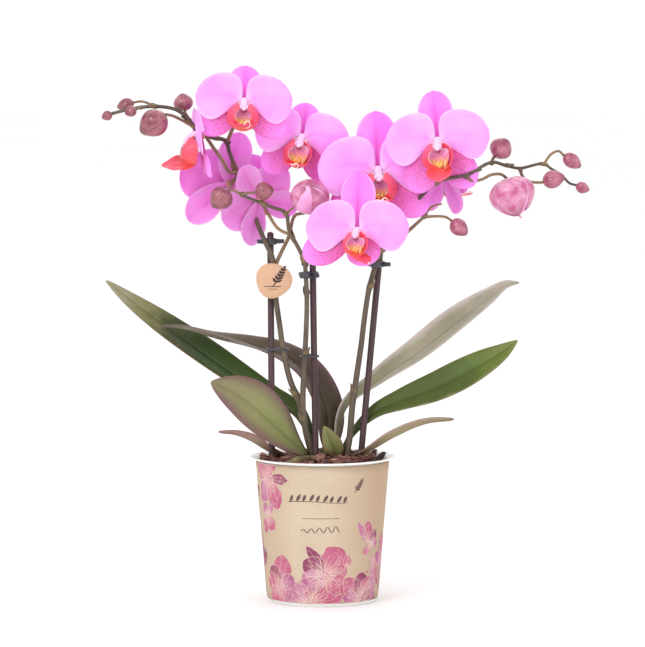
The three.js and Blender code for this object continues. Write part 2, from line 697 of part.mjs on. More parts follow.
function flower(spec, parent) {
  const group = new THREE.Group();
  group.position.set(...spec.at);
  group.quaternion.copy(turnOf(spec));
  parent.add(group);
  piece(group, `flower_${spec.name}_tepals`, perianth(spec), COLOURS.petal, 0.55);
  piece(group, `flower_${spec.name}_lip`, lip(spec), COLOURS.lip, 0.45);
}

// ---- Assembly ----

// Cuts each mesh back from the meshes before it that it would run into, and keeps its main body.
function keepClear(root) {
  root.updateMatrixWorld(true);
  const placed = [];
  root.traverse((mesh) => {
    if (!mesh.isMesh) return;
    const inWorld = mesh.geometry.clone().applyMatrix4(mesh.matrixWorld);
    let solid = solidOf(inWorld);
    const far = (a, b) => [0, 1, 2].some((k) => a.min[k] > b.max[k] || b.min[k] > a.max[k]);
    let cut = false;
    for (const { body, halo } of placed) {
      if (far(solid.boundingBox(), halo.boundingBox())) continue;
      for (const other of [halo, body]) {
        if (solid.intersect(other).volume() < 1e-6) continue;
        solid = solid.subtract(other);
        cut = true;
      }
    }
    if (cut) {
      solid = solid.simplify(SLIVER).decompose().sort((a, b) => b.volume() - a.volume())[0];
      mesh.geometry = geometryOf(solid).applyMatrix4(mesh.matrixWorld.clone().invert());
    }
    placed.push({ body: solid, halo: solidOf(grown(inWorld, CLEARANCE)) });
  });
}

const orchid = new THREE.Group();
const potGroup = new THREE.Group();
const supportGroup = new THREE.Group();
const plantGroup = new THREE.Group();
const bedGroup = new THREE.Group();
orchid.add(potGroup, supportGroup, plantGroup, bedGroup);

piece(potGroup, "pot", potShell(), COLOURS.pot, 0.4);
piece(potGroup, "printed_sleeve", sleeve(), COLOURS.sleeve, 0.7);

for (const [name, stake] of Object.entries(STAKES)) {
  piece(supportGroup, `stake_${name}`, stakeRod(stake), COLOURS.stake, 0.5);
}

piece(plantGroup, "crown", crown(), COLOURS.crown, 0.5);
for (const [name, branches] of Object.entries(SPIKES)) {
  piece(plantGroup, `spike_${name}`, spike(branches), COLOURS.spike, 0.6);
}
for (const spec of LEAVES) {
  piece(plantGroup, `leaf_${spec.name}`, leaf(spec), COLOURS.leaf, 0.4);
}
for (const spec of BUDS) {
  const shape = bud(spec);
  const mesh = piece(plantGroup, `bud_${spec.name}`, shape.geometry, COLOURS.bud, 0.4);
  mesh.position.copy(shape.position);
  mesh.quaternion.copy(shape.quaternion);
}
for (const spec of FLOWERS) flower(spec, plantGroup);
ROOTS.forEach(({ radius, route }, i) => {
  piece(plantGroup, `aerial_root_${i + 1}`, stem(route, radius, radius, 6, 8), COLOURS.root, 0.7);
});

for (const spec of CLIPS) {
  const shape = clip(spec);
  const mesh = piece(supportGroup, `clip_${spec.name}`, shape.geometry, COLOURS.clip, 0.4);
  mesh.position.copy(shape.position);
  mesh.rotation.copy(shape.rotation);
}
const card = tag();
const tagMesh = piece(supportGroup, "tag", card.geometry, COLOURS.tag, 0.8);
tagMesh.position.copy(card.position);
tagMesh.rotation.copy(card.rotation);

// The bark comes last, so that it takes the shape of all that stands in it.
piece(bedGroup, "bark_bed", barkBed(), COLOURS.bark, 0.9);
keepClear(orchid);

export default orchid;
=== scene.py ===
"""Looks for the potted moth orchid: flowers, buds, leaves, spikes, stakes, clips, tag and pot.

Shapes are written in millimetres in the row frame and turned into metres when a mesh is made.
"""

import math

import bpy
import numpy as np
from mathutils import Matrix, Vector


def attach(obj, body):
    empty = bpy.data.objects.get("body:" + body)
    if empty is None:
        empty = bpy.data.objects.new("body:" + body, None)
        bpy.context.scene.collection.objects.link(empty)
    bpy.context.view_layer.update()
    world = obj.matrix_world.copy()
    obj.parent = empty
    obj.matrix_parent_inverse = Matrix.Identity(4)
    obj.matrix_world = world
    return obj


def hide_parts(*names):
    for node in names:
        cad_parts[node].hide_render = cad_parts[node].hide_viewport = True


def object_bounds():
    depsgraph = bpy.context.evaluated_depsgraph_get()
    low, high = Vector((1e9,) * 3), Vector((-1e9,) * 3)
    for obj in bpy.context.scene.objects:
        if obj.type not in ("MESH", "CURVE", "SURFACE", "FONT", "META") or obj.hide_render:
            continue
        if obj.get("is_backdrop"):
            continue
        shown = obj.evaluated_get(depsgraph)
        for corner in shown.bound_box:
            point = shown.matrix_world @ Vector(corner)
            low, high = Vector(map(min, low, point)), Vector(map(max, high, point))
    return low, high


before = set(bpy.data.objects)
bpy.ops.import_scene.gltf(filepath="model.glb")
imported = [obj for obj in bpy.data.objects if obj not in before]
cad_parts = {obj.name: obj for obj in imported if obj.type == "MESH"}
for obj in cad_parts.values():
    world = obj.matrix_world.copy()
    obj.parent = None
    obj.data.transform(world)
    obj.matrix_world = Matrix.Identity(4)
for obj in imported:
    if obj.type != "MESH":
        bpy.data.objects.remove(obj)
CAD_BOX = [list(corner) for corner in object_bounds()]
MM = 0.001
UP = np.array([0.0, 0.0, 1.0])

# ---------------------------------------------------------------- placement, as in the CAD

STAKES = {
    "left": ((-37.0, -7.5, 36), (-38.6, -2.8, 274)),
    "middle": ((-3.6, -14, 10), (-7.4, -3.6, 262)),
    "right": ((19.4, -5, 10), (42.9, 1.6, 262)),
}
STAKE_RADIUS = 2.4

SPIKES = {
    "left": [
        dict(r=(2.4, 1.2), carries="left_1", route=[
            (-7, 1, 106), (-12, -2, 124), (-16, -4, 145), (-24, -5, 165), (-29, -6, 187),
            (-32, -7, 208), (-34.5, -8.5, 226), (-35.6, -8.8, 242), (-37, -9, 256),
            (-42.5, -7.5, 268), (-48, 6, 280), (-54, 20, 296), (-61, 22, 311), (-65, 19, 321),
            (-69, 13, 333), (-72, 7, 342), (-83, 1, 345), (-93, -5, 350), (-99, -9, 359),
            (-108, -13, 366), (-122, -15, 368.5), (-136, -15, 367.5), (-146, -15, 365.5)]),
        dict(r=(1.5, 1.3), carries="left_top", route=[(-71, 9, 340), (-67, -3, 350), (-61, -16, 363)]),
        dict(r=(1.4, 1.3), carries="left_side", route=[
            (-64, 19.5, 318), (-69, 10, 318.5), (-75, 0, 329), (-81, -5, 338)]),
        dict(r=(1.5, 1.4), carries="left_back", route=[(-62.5, 21, 314), (-65, 20, 312.5)]),
        dict(r=(1.3, 1.0), carries="left_4", route=[(-95, -6.5, 353), (-105, -13, 359), (-111, -19, 362)]),
        dict(r=(1.2, 1.1), carries="left_5", route=[(-100, -9.5, 360.5), (-101, -8, 362.5)]),
        dict(r=(1.0, 0.9), carries="left_3", route=[
            (-124, -15, 368.5), (-129, -13, 371), (-134, -11.5, 372)]),
        dict(r=(0.9, 0.8), carries="left_2", route=[(-133, -15, 367.8), (-135, -18, 367.2)]),
        dict(r=(1.5, 1.1), carries="middle_3", route=[
            (-35.2, -8.5, 250), (-30, -4, 261), (-25, 0, 271), (-20.5, -4, 287), (-12, -9, 290)]),
    ],
    "middle": [
        dict(r=(2.5, 1.1), carries=None, route=[
            (-6, -5, 106), (-12, -10, 126), (-14.5, -11, 145), (-13.7, -11, 173), (-12.2, -10.5, 201),
            (-11.6, -10.5, 224), (-12.4, -10, 244), (-13.5, -9, 254), (-18, -10, 264),
            (-24.5, -12, 276), (-27.3, -13, 290), (-36, -13, 293.5), (-46, -14, 297.5),
            (-61, -14, 303.5)]),
        dict(r=(2.1, 1.4), carries=None, route=[
            (-13, -9.3, 251), (-8, 3, 264), (-2, 13, 282), (3, 16, 300), (5, 15, 317), (1, 11, 334)]),
        dict(r=(1.4, 1.3), carries="middle_top", route=[(2, 12, 330), (-4, 8, 338), (-11, 2, 343)]),
        dict(r=(1.5, 1.3), carries="middle_front", route=[(3, 16, 303), (14, 12, 312), (30, -6, 320)]),
        dict(r=(1.5, 1.3), carries="middle_low", route=[(-5, 8, 272), (4, -8, 276), (16, -30, 278)]),
        dict(r=(1.2, 1.2), carries="middle_back", route=[(-23, -11.5, 273), (-33, -8, 278), (-40, -3, 288)]),
        dict(r=(1.1, 0.9), carries="middle_1", route=[(-59.5, -14, 303), (-65, -15, 306.5)]),
        dict(r=(1.1, 1.0), carries="middle_2", route=[(-60, -14, 303.2), (-56, -15.5, 304.5)]),
        dict(r=(1.1, 0.7), carries=None, route=[(-27, -12.8, 289), (-23, -15, 292.5), (-20, -17, 295)]),
    ],
    "right": [
        dict(r=(2.5, 0.9), carries="right_5", route=[
            (17, -3, 106), (20, -4, 121), (22, -5, 144), (25, -5.5, 166), (28.5, -6, 190),
            (31.3, -6.5, 213), (34.5, -6.5, 233), (39.5, -6, 251), (45, -5, 264), (53, -5, 278),
            (62, -11, 290), (71, -21, 301), (80, -34, 311), (87, -43, 316), (98, -47, 318.5),
            (106, -45, 320), (124, -35, 328.5), (134, -29, 326), (145, -24, 323.5),
            (163, -19, 326.5), (168, -18, 323), (176, -15, 318), (182, -17, 312)]),
        dict(r=(1.7, 1.1), carries=None, route=[
            (43.5, -5.2, 261), (52, -9, 266), (63, -13, 276), (76, -16, 288)]),
        dict(r=(1.1, 0.9), carries="right_6", route=[(75, -16, 287), (86, -18, 287.6), (91, -19, 287)]),
        dict(r=(1.1, 0.6), carries=None, route=[
            (74.5, -16, 286.5), (79, -15, 293), (83, -14, 295.5), (88, -13, 296.3)]),
        dict(r=(1.4, 1.3), carries="right_top", route=[(79, -31, 309.5), (82, -22, 322), (84, -24, 338)]),
        dict(r=(1.4, 1.3), carries="right_back", route=[(84, -39, 313.5), (79, -27, 314), (79, -12, 316)]),
        dict(r=(1.2, 1.0), carries="right_2", route=[
            (105, -45, 320), (109, -43, 315.5), (116, -40, 316), (124, -37, 319.5), (131, -33, 319.5)]),
        dict(r=(1.2, 1.1), carries="right_1", route=[(124, -35, 328), (125, -30, 330.5)]),
        dict(r=(1.2, 1.0), carries="right_3", route=[
            (145, -24, 323.5), (147.5, -24, 317), (152.5, -23, 313.5)]),
        dict(r=(1.0, 0.9), carries="right_4", route=[(163, -19, 326), (168, -17, 333), (174, -14, 335.5)]),
    ],
}

# `sepals` are the (angle, length) of the right and left lower sepals, and `hue` deepens the colour; the
# higher `hue` of the flowers at the back and at the side is painted shade, for flowers that stand in shadow.
# A lip droops, swings and twists by degrees, its side lobes flare where `flare` is negative, and `curl` is
# the size of its left and right tendrils.
FLOWERS = [
    dict(name="left_top", at=(-57.8, -33, 371.6), size=0.95, yaw=3, pitch=4, roll=-4,
         dorsal=0.77, sepals=((-33, 1), (215, 1)), lip=1, droop=0, hue=0.10, curl=(0, 0.85)),
    dict(name="left_side", at=(-91, -5, 346), size=0.92, yaw=-84, pitch=-4, roll=0,
         dorsal=0.6, sepals=((-50, 1), (228, 1)), lip=1.14, droop=5, hue=0.5, twist=-30, curl=(0, 0)),
    dict(name="left_back", at=(-70, 27, 309), size=1.05, yaw=-160, pitch=8, roll=8,
         dorsal=1, sepals=((-46, 1), (226, 1)), lip=1, droop=15, hue=0.45),
    dict(name="middle_top", at=(-15.5, -9, 344), size=0.94, yaw=-8, pitch=0, roll=-8,
         dorsal=0.75, sepals=((-48, 1), (226, 1)), lip=1.05, droop=4, hue=0.25, flare=(2.4, -1.4),
         curl=(0.35, 0.6)),
    dict(name="middle_front", at=(40.8, -25, 320.5), size=1.18, yaw=2, pitch=0, roll=2,
         dorsal=1, sepals=((-42, 1), (226, 1)), lip=0.92, droop=4, hue=0.05, curl=(0.5, 0.8)),
    dict(name="middle_low", at=(25.5, -53, 278.5), size=1.02, yaw=-12, pitch=6, roll=1,
         dorsal=1.15, sepals=((-74, 0.62), (204, 1.12)), lip=0.84, droop=30, hue=0.15, flare=(2.4, -2.6),
         swing=42, curl=(0, 0.35)),
    dict(name="middle_back", at=(-48, 8, 298), size=0.86, yaw=-148, pitch=12, roll=-36,
         dorsal=1, sepals=((-46, 1), (226, 1)), lip=1, droop=15, hue=0.4),
    dict(name="right_top", at=(84.5, -42, 343), size=1.02, yaw=-6, pitch=5, roll=6,
         dorsal=1, sepals=((-56, 1), (236, 1)), lip=1, droop=32, hue=0.0, flare=(2.4, -1.6), curl=(0, 0)),
    dict(name="right_back", at=(90.5, 1, 316), size=0.85, yaw=124, pitch=5, roll=0,
         dorsal=0.8, sepals=((-46, 1), (226, 1)), lip=1, droop=5, hue=0.3),
]

BUDS = [
    dict(name="left_1", stalk=(-155, -14, 363.2), tip=(-162.5, -14, 359.8), width=7.4),
    dict(name="left_2", stalk=(-137, -21.6, 366.8), tip=(-145, -25, 363.5), width=8.4),
    dict(name="left_3", stalk=(-139, -10.4, 371.2), tip=(-151.5, -9, 367.5), width=9.6),
    dict(name="left_4", stalk=(-115.5, -21.3, 363), tip=(-133.5, -27, 350), width=20.5),
    dict(name="left_5", stalk=(-101.7, -5.3, 364.6), tip=(-103.5, -2, 377.5), width=14.6),
    dict(name="middle_1", stalk=(-69.4, -15, 307), tip=(-81, -20, 294.5), width=17.5),
    dict(name="middle_2", stalk=(-49.4, -16, 305), tip=(-36, -20, 307.5), width=13.6),
    dict(name="middle_3", stalk=(-9.5, -13, 295.2), tip=(-9, -38, 311), width=29),
    dict(name="right_1", stalk=(126.6, -22.8, 332), tip=(136, -28, 344.5), width=16.8),
    dict(name="right_2", stalk=(135.5, -29.8, 316.4), tip=(144.5, -38, 289.5), width=34),
    dict(name="right_3", stalk=(162, -22.5, 312.8), tip=(178, -25, 317.5), width=13.4),
    dict(name="right_4", stalk=(177.8, -12.9, 332.4), tip=(190.5, -11, 323.5), width=11),
    dict(name="right_5", stalk=(186.6, -20.2, 310.8), tip=(196.5, -21, 307), width=8.6),
    dict(name="right_6", stalk=(95, -19.6, 284.6), tip=(106.5, -22, 274.5), width=12.6),
]

# Upper and under colours are (share of the length, sRGB colour) stops from base to tip; `edge` tints
# the outer part of the upper side from the share `margin` of its half width, `rim` the under side.
LEAVES = [
    dict(name="left_long", width=25, widest=0.55, fold=0.18, face=(0.5, -0.6, 0.6), tip=(0.2, -0.8, 0.7),
         route=[(-4, 7, 112), (-19, 11, 140), (-39, 16, 150), (-62, 22, 163), (-92, 30, 183),
                (-122, 36, 204), (-145, 40, 221), (-162, 43, 235)],
         upper=((0.0, (78, 92, 36)), (0.4, (54, 80, 14)), (0.6, (38, 62, 6)), (0.7, (54, 66, 22)),
                (0.8, (120, 120, 74)), (0.95, (150, 146, 116))),
         under=((0.0, (104, 98, 66)), (1.0, (134, 124, 84))),
         edge=(104, 88, 66), margin=0.9, rim=(130, 92, 88)),
    dict(name="left_arched", width=27, widest=0.3, fold=0.2, face=(0.6, -0.75, 0.2), tip=(0.0, 0.15, 1),
         route=[(4, 9, 111), (2, 15, 143), (-11, 21, 167), (-28, 24, 179), (-54, 23, 188),
                (-80, 20, 195), (-102, 17, 202), (-121, 14, 204)],
         upper=((0.0, (84, 82, 46)), (0.3, (70, 56, 48)), (0.6, (86, 74, 52)), (1.0, (78, 76, 44))),
         under=((0.0, (84, 66, 62)), (0.4, (96, 82, 66)), (0.7, (124, 114, 94)), (0.9, (152, 148, 132)),
                (1.0, (82, 78, 48))),
         edge=(110, 82, 82), margin=0.55, rim=(132, 110, 108)),
    dict(name="right_long", width=25, widest=0.6, fold=0.18, face=(-0.7, 0.5, 0.5), tip=(-0.1, 0.85, 0.5),
         route=[(9, 8, 112), (17, 13, 143), (43, 20, 164), (73, 26, 184), (103, 32, 207),
                (125, 36, 223), (137, 38, 232), (147, 38, 234)],
         upper=((0.0, (70, 74, 42)), (1.0, (112, 122, 66))),
         under=((0.0, (76, 66, 50)), (0.22, (150, 146, 112)), (0.5, (166, 158, 136)), (0.7, (150, 144, 120)),
                (1.0, (184, 174, 160))),
         edge=(120, 88, 78), margin=0.86, rim=(204, 192, 186)),
    dict(name="right_wide", width=26, widest=0.66, fold=0.16, face=(-0.4, -0.7, 0.6), tip=(-0.1, -0.8, 0.6),
         route=[(14, 3, 111), (24, 5, 126), (40, 6, 140), (60, 8, 148), (87, 9, 158), (116, 10, 173),
                (134, 10, 184), (145, 10, 193)],
         upper=((0.0, (66, 80, 28)), (0.4, (72, 90, 26)), (0.62, (68, 88, 20)), (0.78, (82, 104, 24)),
                (0.9, (104, 120, 44)), (1.0, (124, 132, 76))),
         under=((0.0, (120, 104, 96)), (1.0, (156, 144, 122))),
         edge=(128, 120, 84), margin=0.9, rim=(150, 130, 120)),
    dict(name="right_small", width=15, widest=0.6, fold=0.2, face=(-0.2, 0.3, 0.9), tip=(0.0, 0.2, 1),
         route=[(22, -2, 108), (34, -7, 113), (54, -13, 125), (76, -19, 135), (97, -23, 138)],
         upper=((0.0, (106, 100, 66)), (1.0, (134, 122, 82))),
         under=((0.0, (140, 126, 92)), (0.5, (158, 144, 112)), (1.0, (150, 130, 100))),
         edge=(120, 88, 78), margin=0.7, rim=(172, 150, 134)),
    dict(name="left_broad", width=39, widest=0.6, fold=0.1, face=(0.4, -0.7, 0.5), tip=(0.2, -0.85, 0.6),
         route=[(-10, -4, 107), (-24, -14, 121), (-41, -21, 138), (-60, -25, 154), (-82, -27, 166)],
         upper=((0.0, (118, 122, 78)), (0.3, (126, 132, 76)), (0.6, (140, 140, 90)), (1.0, (134, 124, 96))),
         under=((0.0, (128, 112, 98)), (1.0, (150, 140, 116))),
         edge=(112, 74, 84), margin=0.42, rim=(134, 104, 100)),
    dict(name="left_small", width=14, widest=0.55, fold=0.2, face=(0.2, 0.3, 0.9), tip=(0.1, 0.2, 1),
         route=[(-24, 2, 106), (-41, 0, 113), (-54, -3, 121), (-65, -6, 125.5), (-77, -8, 127)],
         upper=((0.0, (110, 104, 70)), (1.0, (150, 112, 104))),
         under=((0.0, (140, 126, 92)), (0.5, (160, 134, 116)), (1.0, (156, 112, 104))),
         edge=(150, 108, 100), margin=0.5, rim=(168, 128, 122)),
    dict(name="centre_small", width=13, widest=0.4, fold=0.25, face=(0.1, -0.9, 0.3), tip=(0.1, -0.9, 0.3),
         route=[(9, -7, 108), (8, -9, 114), (5, -10, 122), (1, -10, 131)],
         upper=((0.0, (96, 92, 56)), (0.5, (124, 126, 72)), (1.0, (140, 138, 84))),
         under=((0.0, (110, 104, 64)), (1.0, (138, 132, 84))),
         edge=(116, 92, 66), margin=0.6, rim=(116, 92, 70)),
]

ROOTS = [
    (2.4, [(2, -8, 104), (-8, -20, 108), (-18, -27, 108), (-28, -30, 104), (-33, -31, 100)]),
    (2.2, [(14, 4, 104), (24, 12, 108.5), (33, 20, 107.5), (38, 25, 102)]),
]

CLIPS = [
    dict(name="left_upper", stake="left", height=268, spike=(-38.2, -4.6), slim=False),
    dict(name="left_lower", stake="left", height=188, spike=(-29.1, -6), slim=True),
    dict(name="middle_upper", stake="middle", height=243.4, spike=(-12.7, -9.8), slim=False),
    dict(name="middle_lower", stake="middle", height=183, spike=(-13.2, -10.8), slim=True),
    dict(name="right_upper", stake="right", height=251, spike=(39.6, -6), slim=False),
]

TAG = dict(centre=(-35.8, -13.6, 239), width=26.5, height=26, thickness=0.8)

POT = dict(height=108, foot=40, wall_top_radius=48.8, wall_top=105.6, lip=54, wall=1.3, base=2.6,
           holes=6, hole_radius=3, hole_circle=25)
SLEEVE = dict(bottom=2.5, top=105, card=0.6)
BED_EDGE = 101
TAB_LENGTH = 6.9
CHIPS, CHIP_TRIES = 150, 4000
PRINT_LOW, PRINT_HIGH = SLEEVE["bottom"] + 0.3, SLEEVE["top"] - 0.4

# ---------------------------------------------------------------- colour and materials

PETAL_SCATTER = (1.0, 0.35, 0.8)
LIP_SCATTER = (1.0, 0.3, 0.3)
BUD_SCATTER = (1.0, 0.4, 0.5)


def rgb(r, g, b):
    """A linear colour from an sRGB one in 0-255."""
    shares = [c / 255 for c in (r, g, b)]
    return (*[c / 12.92 if c <= 0.04045 else ((c + 0.055) / 1.055) ** 2.4 for c in shares], 1.0)


def linear(colour):
    """A linear colour from a grey, an sRGB triple or a colour that is linear already."""
    if not isinstance(colour, tuple):
        return (colour, colour, colour, 1.0)
    return rgb(*colour) if len(colour) == 3 else colour


def tint(a, b, share):
    return tuple(x + (y - x) * share for x, y in zip(a, b))


class Value:
    """A shader socket that takes part in sums as a number does."""

    def __init__(self, shader, socket):
        self.shader, self.socket = shader, socket

    def __add__(self, other):
        return self.shader.math("ADD", self, other)

    def __sub__(self, other):
        return self.shader.math("SUBTRACT", self, other)

    def __rsub__(self, other):
        return self.shader.math("SUBTRACT", other, self)

    def __mul__(self, other):
        return self.shader.math("MULTIPLY", self, other)

    def __pow__(self, other):
        return self.shader.math("POWER", self, other)

    def __abs__(self):
        return self.shader.math("ABSOLUTE", self)

    def sine(self):
        return self.shader.math("SINE", self)

    def clamped(self):
        self.socket.node.use_clamp = True
        return self


class Shader:
    """A short way to write a node material around one Principled shader."""

    def __init__(self, name, **constants):
        self.material = bpy.data.materials.new(name)
        self.material.use_nodes = True
        self.tree = self.material.node_tree
        self.bsdf = self.tree.nodes["Principled BSDF"]
        for key, value in constants.items():
            self.bsdf.inputs[key.replace("_", " ")].default_value = value

    def node(self, kind, inputs, output=0, **settings):
        """A new node with its settings and inputs; gives one of its outputs."""
        made = self.tree.nodes.new(kind)
        for key, value in settings.items():
            setattr(made, key, value)
        for key, value in inputs.items():
            self.link(value, made.inputs[key])
        return Value(self, made.outputs[output])

    def link(self, source, target):
        """Joins a value to an input; a number or vector becomes the input's own constant."""
        if isinstance(source, Value):
            self.tree.links.new(source.socket, target)
        else:
            target.default_value = source

    def math(self, operation, a, b=0.0):
        return self.node("ShaderNodeMath", {0: a, 1: b}, operation=operation)

    def uv(self):
        """Where a point is along its surface and across it, each from 0 to 1."""
        both = self.node("ShaderNodeUVMap", {}, "UV", uv_map="UVMap")
        split = self.node("ShaderNodeSeparateXYZ", {0: both})
        return split, Value(self, split.socket.node.outputs[1])

    def place(self, stretch, uv=None):
        """The object's own coordinates in metres, or those of its UV map, scaled on each axis."""
        if uv:
            source = self.node("ShaderNodeUVMap", {}, "UV", uv_map="UVMap")
        else:
            source = self.node("ShaderNodeTexCoord", {}, "Object")
        return self.node("ShaderNodeMapping", {"Vector": source, "Scale": uv or stretch})

    def noise(self, scale, detail=3, roughness=0.5, distortion=0.0, stretch=(1, 1, 1), uv=None):
        return self.node("ShaderNodeTexNoise", {
            "Vector": self.place(stretch, uv), "Scale": scale, "Detail": detail,
            "Roughness": roughness, "Distortion": distortion}, "Fac")

    def cells(self, scale, stretch=(1, 1, 1)):
        return self.node("ShaderNodeTexVoronoi", {"Vector": self.place(stretch), "Scale": scale}, "Distance")

    def lines(self, value, rate, sharpness):
        """Thin lines wherever the value times the rate passes a multiple of pi."""
        return (1.0 - abs((value * rate).sine())) ** sharpness

    def ramp(self, value, *stops):
        """Colours or greys between (position, colour or grey) stops."""
        made = self.node("ShaderNodeValToRGB", {"Fac": value}, "Color")
        elements = made.socket.node.color_ramp.elements
        elements.remove(elements[1])
        for k, (position, colour) in enumerate(stops):
            position = min(position, 1.0)
            element = elements.new(position) if k else elements[0]
            element.position = position
            element.color = linear(colour)
        return made

    def mix(self, factor, a, b):
        a, b = (c if isinstance(c, Value) else linear(c) for c in (a, b))
        return self.node("ShaderNodeMix", {0: factor, 6: a, 7: b}, 2, data_type="RGBA")

    def colour(self, value):
        self.link(value, self.bsdf.inputs["Base Color"])

    def roughness(self, value):
        self.link(value, self.bsdf.inputs["Roughness"])

    def gloss(self, scale, low, high, detail=2):
        """Roughness from fine noise between two (position, roughness) stops."""
        self.roughness(self.ramp(self.noise(scale, detail), low, high))

    def bump(self, height, strength, distance=0.0004):
        made = self.node("ShaderNodeBump", {"Strength": strength, "Distance": distance, "Height": height})
        self.link(made, self.bsdf.inputs["Normal"])


def tepal_material(name, hue, rim, deep, veins=1.0, heart=0.75, white=0.0):
    """Soft petal tissue: UV x runs from base to tip, y from one edge to the other."""
    s = Shader(name, Specular_IOR_Level=0.28, Subsurface_Weight=0.25, Subsurface_Scale=0.004,
               Subsurface_Radius=PETAL_SCATTER, Sheen_Weight=0.15, Sheen_Roughness=0.4)
    along, across = s.uv()
    off = abs(across - 0.5) * 2.0
    body = s.ramp(s.noise(38, 2), (0.32, rim), (0.7, hue))
    # deeper colour along the middle and towards the base: partly the tepal's own deeper tone, partly painted
    # shade in its middle crease and near the flower's centre
    amount = ((1.0 - off) ** 3.0 * (1.0 - along * 0.95).clamped() * heart).clamped()
    tinted = s.mix(amount, body, deep)
    if white:
        tinted = s.mix(s.ramp(along, (0.03, white), (0.24, 0.0)), tinted, (255, 226, 250))
    # fine veins that run out along the tepal
    spread = across + s.noise(2.0, 2, uv=(3, 3, 1)) * 0.1
    fine = (s.lines(spread, 74.0, 5.0) * (s.noise(1.0, 2, uv=(26, 40, 1)) + 0.25)).clamped()
    veined = s.mix(fine * (0.42 * veins), tinted, deep)
    # painted highlight: a pale band along the very edges stands in for light on the rims
    s.colour(s.mix(off ** 12.0 * 0.55, veined, (255, 214, 253)))
    s.gloss(400, (0.2, 0.5), (0.8, 0.66))
    s.bump(s.noise(1.0, 3, uv=(30, 90, 1)) - fine, 0.18)
    return s.material


def speckled_material(name, base, spots, rim):
    """A lower sepal: dark dots crowd its inner half."""
    s = Shader(name, Specular_IOR_Level=0.28, Subsurface_Weight=0.25, Subsurface_Scale=0.004,
               Subsurface_Radius=PETAL_SCATTER)
    along, across = s.uv()
    ground = s.ramp(along + s.noise(60, 3) * 0.25, (0.5, base), (1.05, rim))
    dot = s.ramp(s.cells(900), (0.2, 1.0), (0.42, 0.0))
    reach = s.ramp(along + s.noise(90, 2) * 0.3, (0.7, 1.0), (1.05, 0.0))
    spotted = s.mix(dot * reach * 0.8, ground, spots)
    s.colour(s.mix(s.lines(across, 52.0, 5.0) * 0.25, spotted, spots))
    s.gloss(400, (0.2, 0.45), (0.8, 0.62))
    s.bump(s.noise(1.0, 3, uv=(30, 90, 1)), 0.18)
    return s.material


def lip_material(name, base, tip, stripes, glow):
    """Lip tissue: glossy, deepening from the base to the tip with dark stripes."""
    s = Shader(name, Specular_IOR_Level=0.45, Subsurface_Weight=0.2, Subsurface_Scale=0.002,
               Subsurface_Radius=LIP_SCATTER, Coat_Weight=0.15, Coat_Roughness=0.25)
    along, across = s.uv()
    ground = s.ramp(along + (s.noise(260, 3) - 0.5) * 0.5, (0.1, base), (0.5, glow), (0.95, tip))
    wave = ((across + s.noise(2.0, 2, uv=(4, 3, 1)) * 0.12) * 44.0).sine()
    stripe = s.ramp(abs(wave), (0.05, 1.0), (0.45, 0.0))
    s.colour(s.mix(stripe * s.ramp(along, (0.0, 0.75), (0.8, 0.15)), ground, stripes))
    s.gloss(500, (0.2, 0.28), (0.8, 0.5))
    s.bump(s.noise(1.0, 3, uv=(14, 40, 1)), 0.25)
    return s.material


def throat_material(name):
    """The floor of the lip's cup: white, then magenta, then orange and cream, with dark stripes; its
    near-white start is partly its own pale colour and partly painted light inside the cup.
    """
    s = Shader(name, Specular_IOR_Level=0.4, Subsurface_Weight=0.2, Subsurface_Scale=0.002)
    along, across = s.uv()
    # painted light: the first stops are lifted to near white so that the shaded cup reads as lit inside
    ground = s.ramp(along + (s.noise(320, 3) - 0.5) * 0.35, (0.08, (255, 240, 250)),
                    (0.3, (250, 204, 236)), (0.52, (240, 140, 200)), (0.68, (252, 176, 130)),
                    (0.84, (255, 200, 100)), (1.0, (255, 236, 206)))
    stripe = s.ramp(abs((across * 34.0).sine()), (0.05, 0.6), (0.4, 0.0))
    s.colour(s.mix(stripe, ground, (200, 70, 140)))
    s.gloss(500, (0.2, 0.3), (0.8, 0.5))
    s.bump(s.noise(1.0, 3, uv=(14, 40, 1)), 0.25)
    return s.material


def callus_material(name):
    """Golden swellings with crimson dots."""
    s = Shader(name, Specular_IOR_Level=0.5, Coat_Weight=0.2, Coat_Roughness=0.2)
    ground = s.ramp(s.noise(300, 3), (0.3, (250, 176, 70)), (0.7, (248, 214, 130)))
    s.colour(s.mix(s.ramp(s.cells(900), (0.18, 1.0), (0.36, 0.0)), ground, (190, 40, 50)))
    s.gloss(500, (0.2, 0.25), (0.8, 0.45))
    s.bump(s.noise(700, 3), 0.25)
    return s.material


def plain_material(name, stops, scale, low, high, bump=0.2, bump_scale=900, **constants):
    """Mottled material: noise between the colour stops, rough and bumpy on a small scale."""
    s = Shader(name, **{"Specular_IOR_Level": 0.4, **constants})
    s.colour(s.ramp(s.noise(scale, 4, 0.6), *stops))
    s.gloss(bump_scale / 2, (0.25, low), (0.75, high))
    s.bump(s.noise(bump_scale, 3), bump, 0.0005)
    return s.material


def bud_material(name, base, light, dark, green):
    """A bud's skin: mottled and veined, dark at its tip and green at its stalk."""
    s = Shader(name, Specular_IOR_Level=0.5, Subsurface_Weight=0.12, Subsurface_Scale=0.003,
               Subsurface_Radius=BUD_SCATTER, Coat_Weight=0.55, Coat_Roughness=0.16)
    along, across = s.uv()
    ground = s.ramp(s.noise(130, 4, 0.6), (0.36, base), (0.66, light))
    vein = s.lines(across + s.noise(1.0, 2, uv=(6, 3, 1)) * 0.05, 58.0, 3.0)
    veined = s.mix(vein * 0.55, ground, dark)
    tipped = s.mix(s.ramp(along, (0.82, 0.0), (1.0, 0.7)), veined, dark)
    s.colour(s.mix(s.ramp(along, (0.0, 0.85), (0.11, 0.0)), tipped, green))
    s.gloss(350, (0.25, 0.3), (0.75, 0.5))
    s.bump(s.noise(1.0, 3, uv=(14, 50, 1)) - vein * 0.6, 0.25)
    return s.material


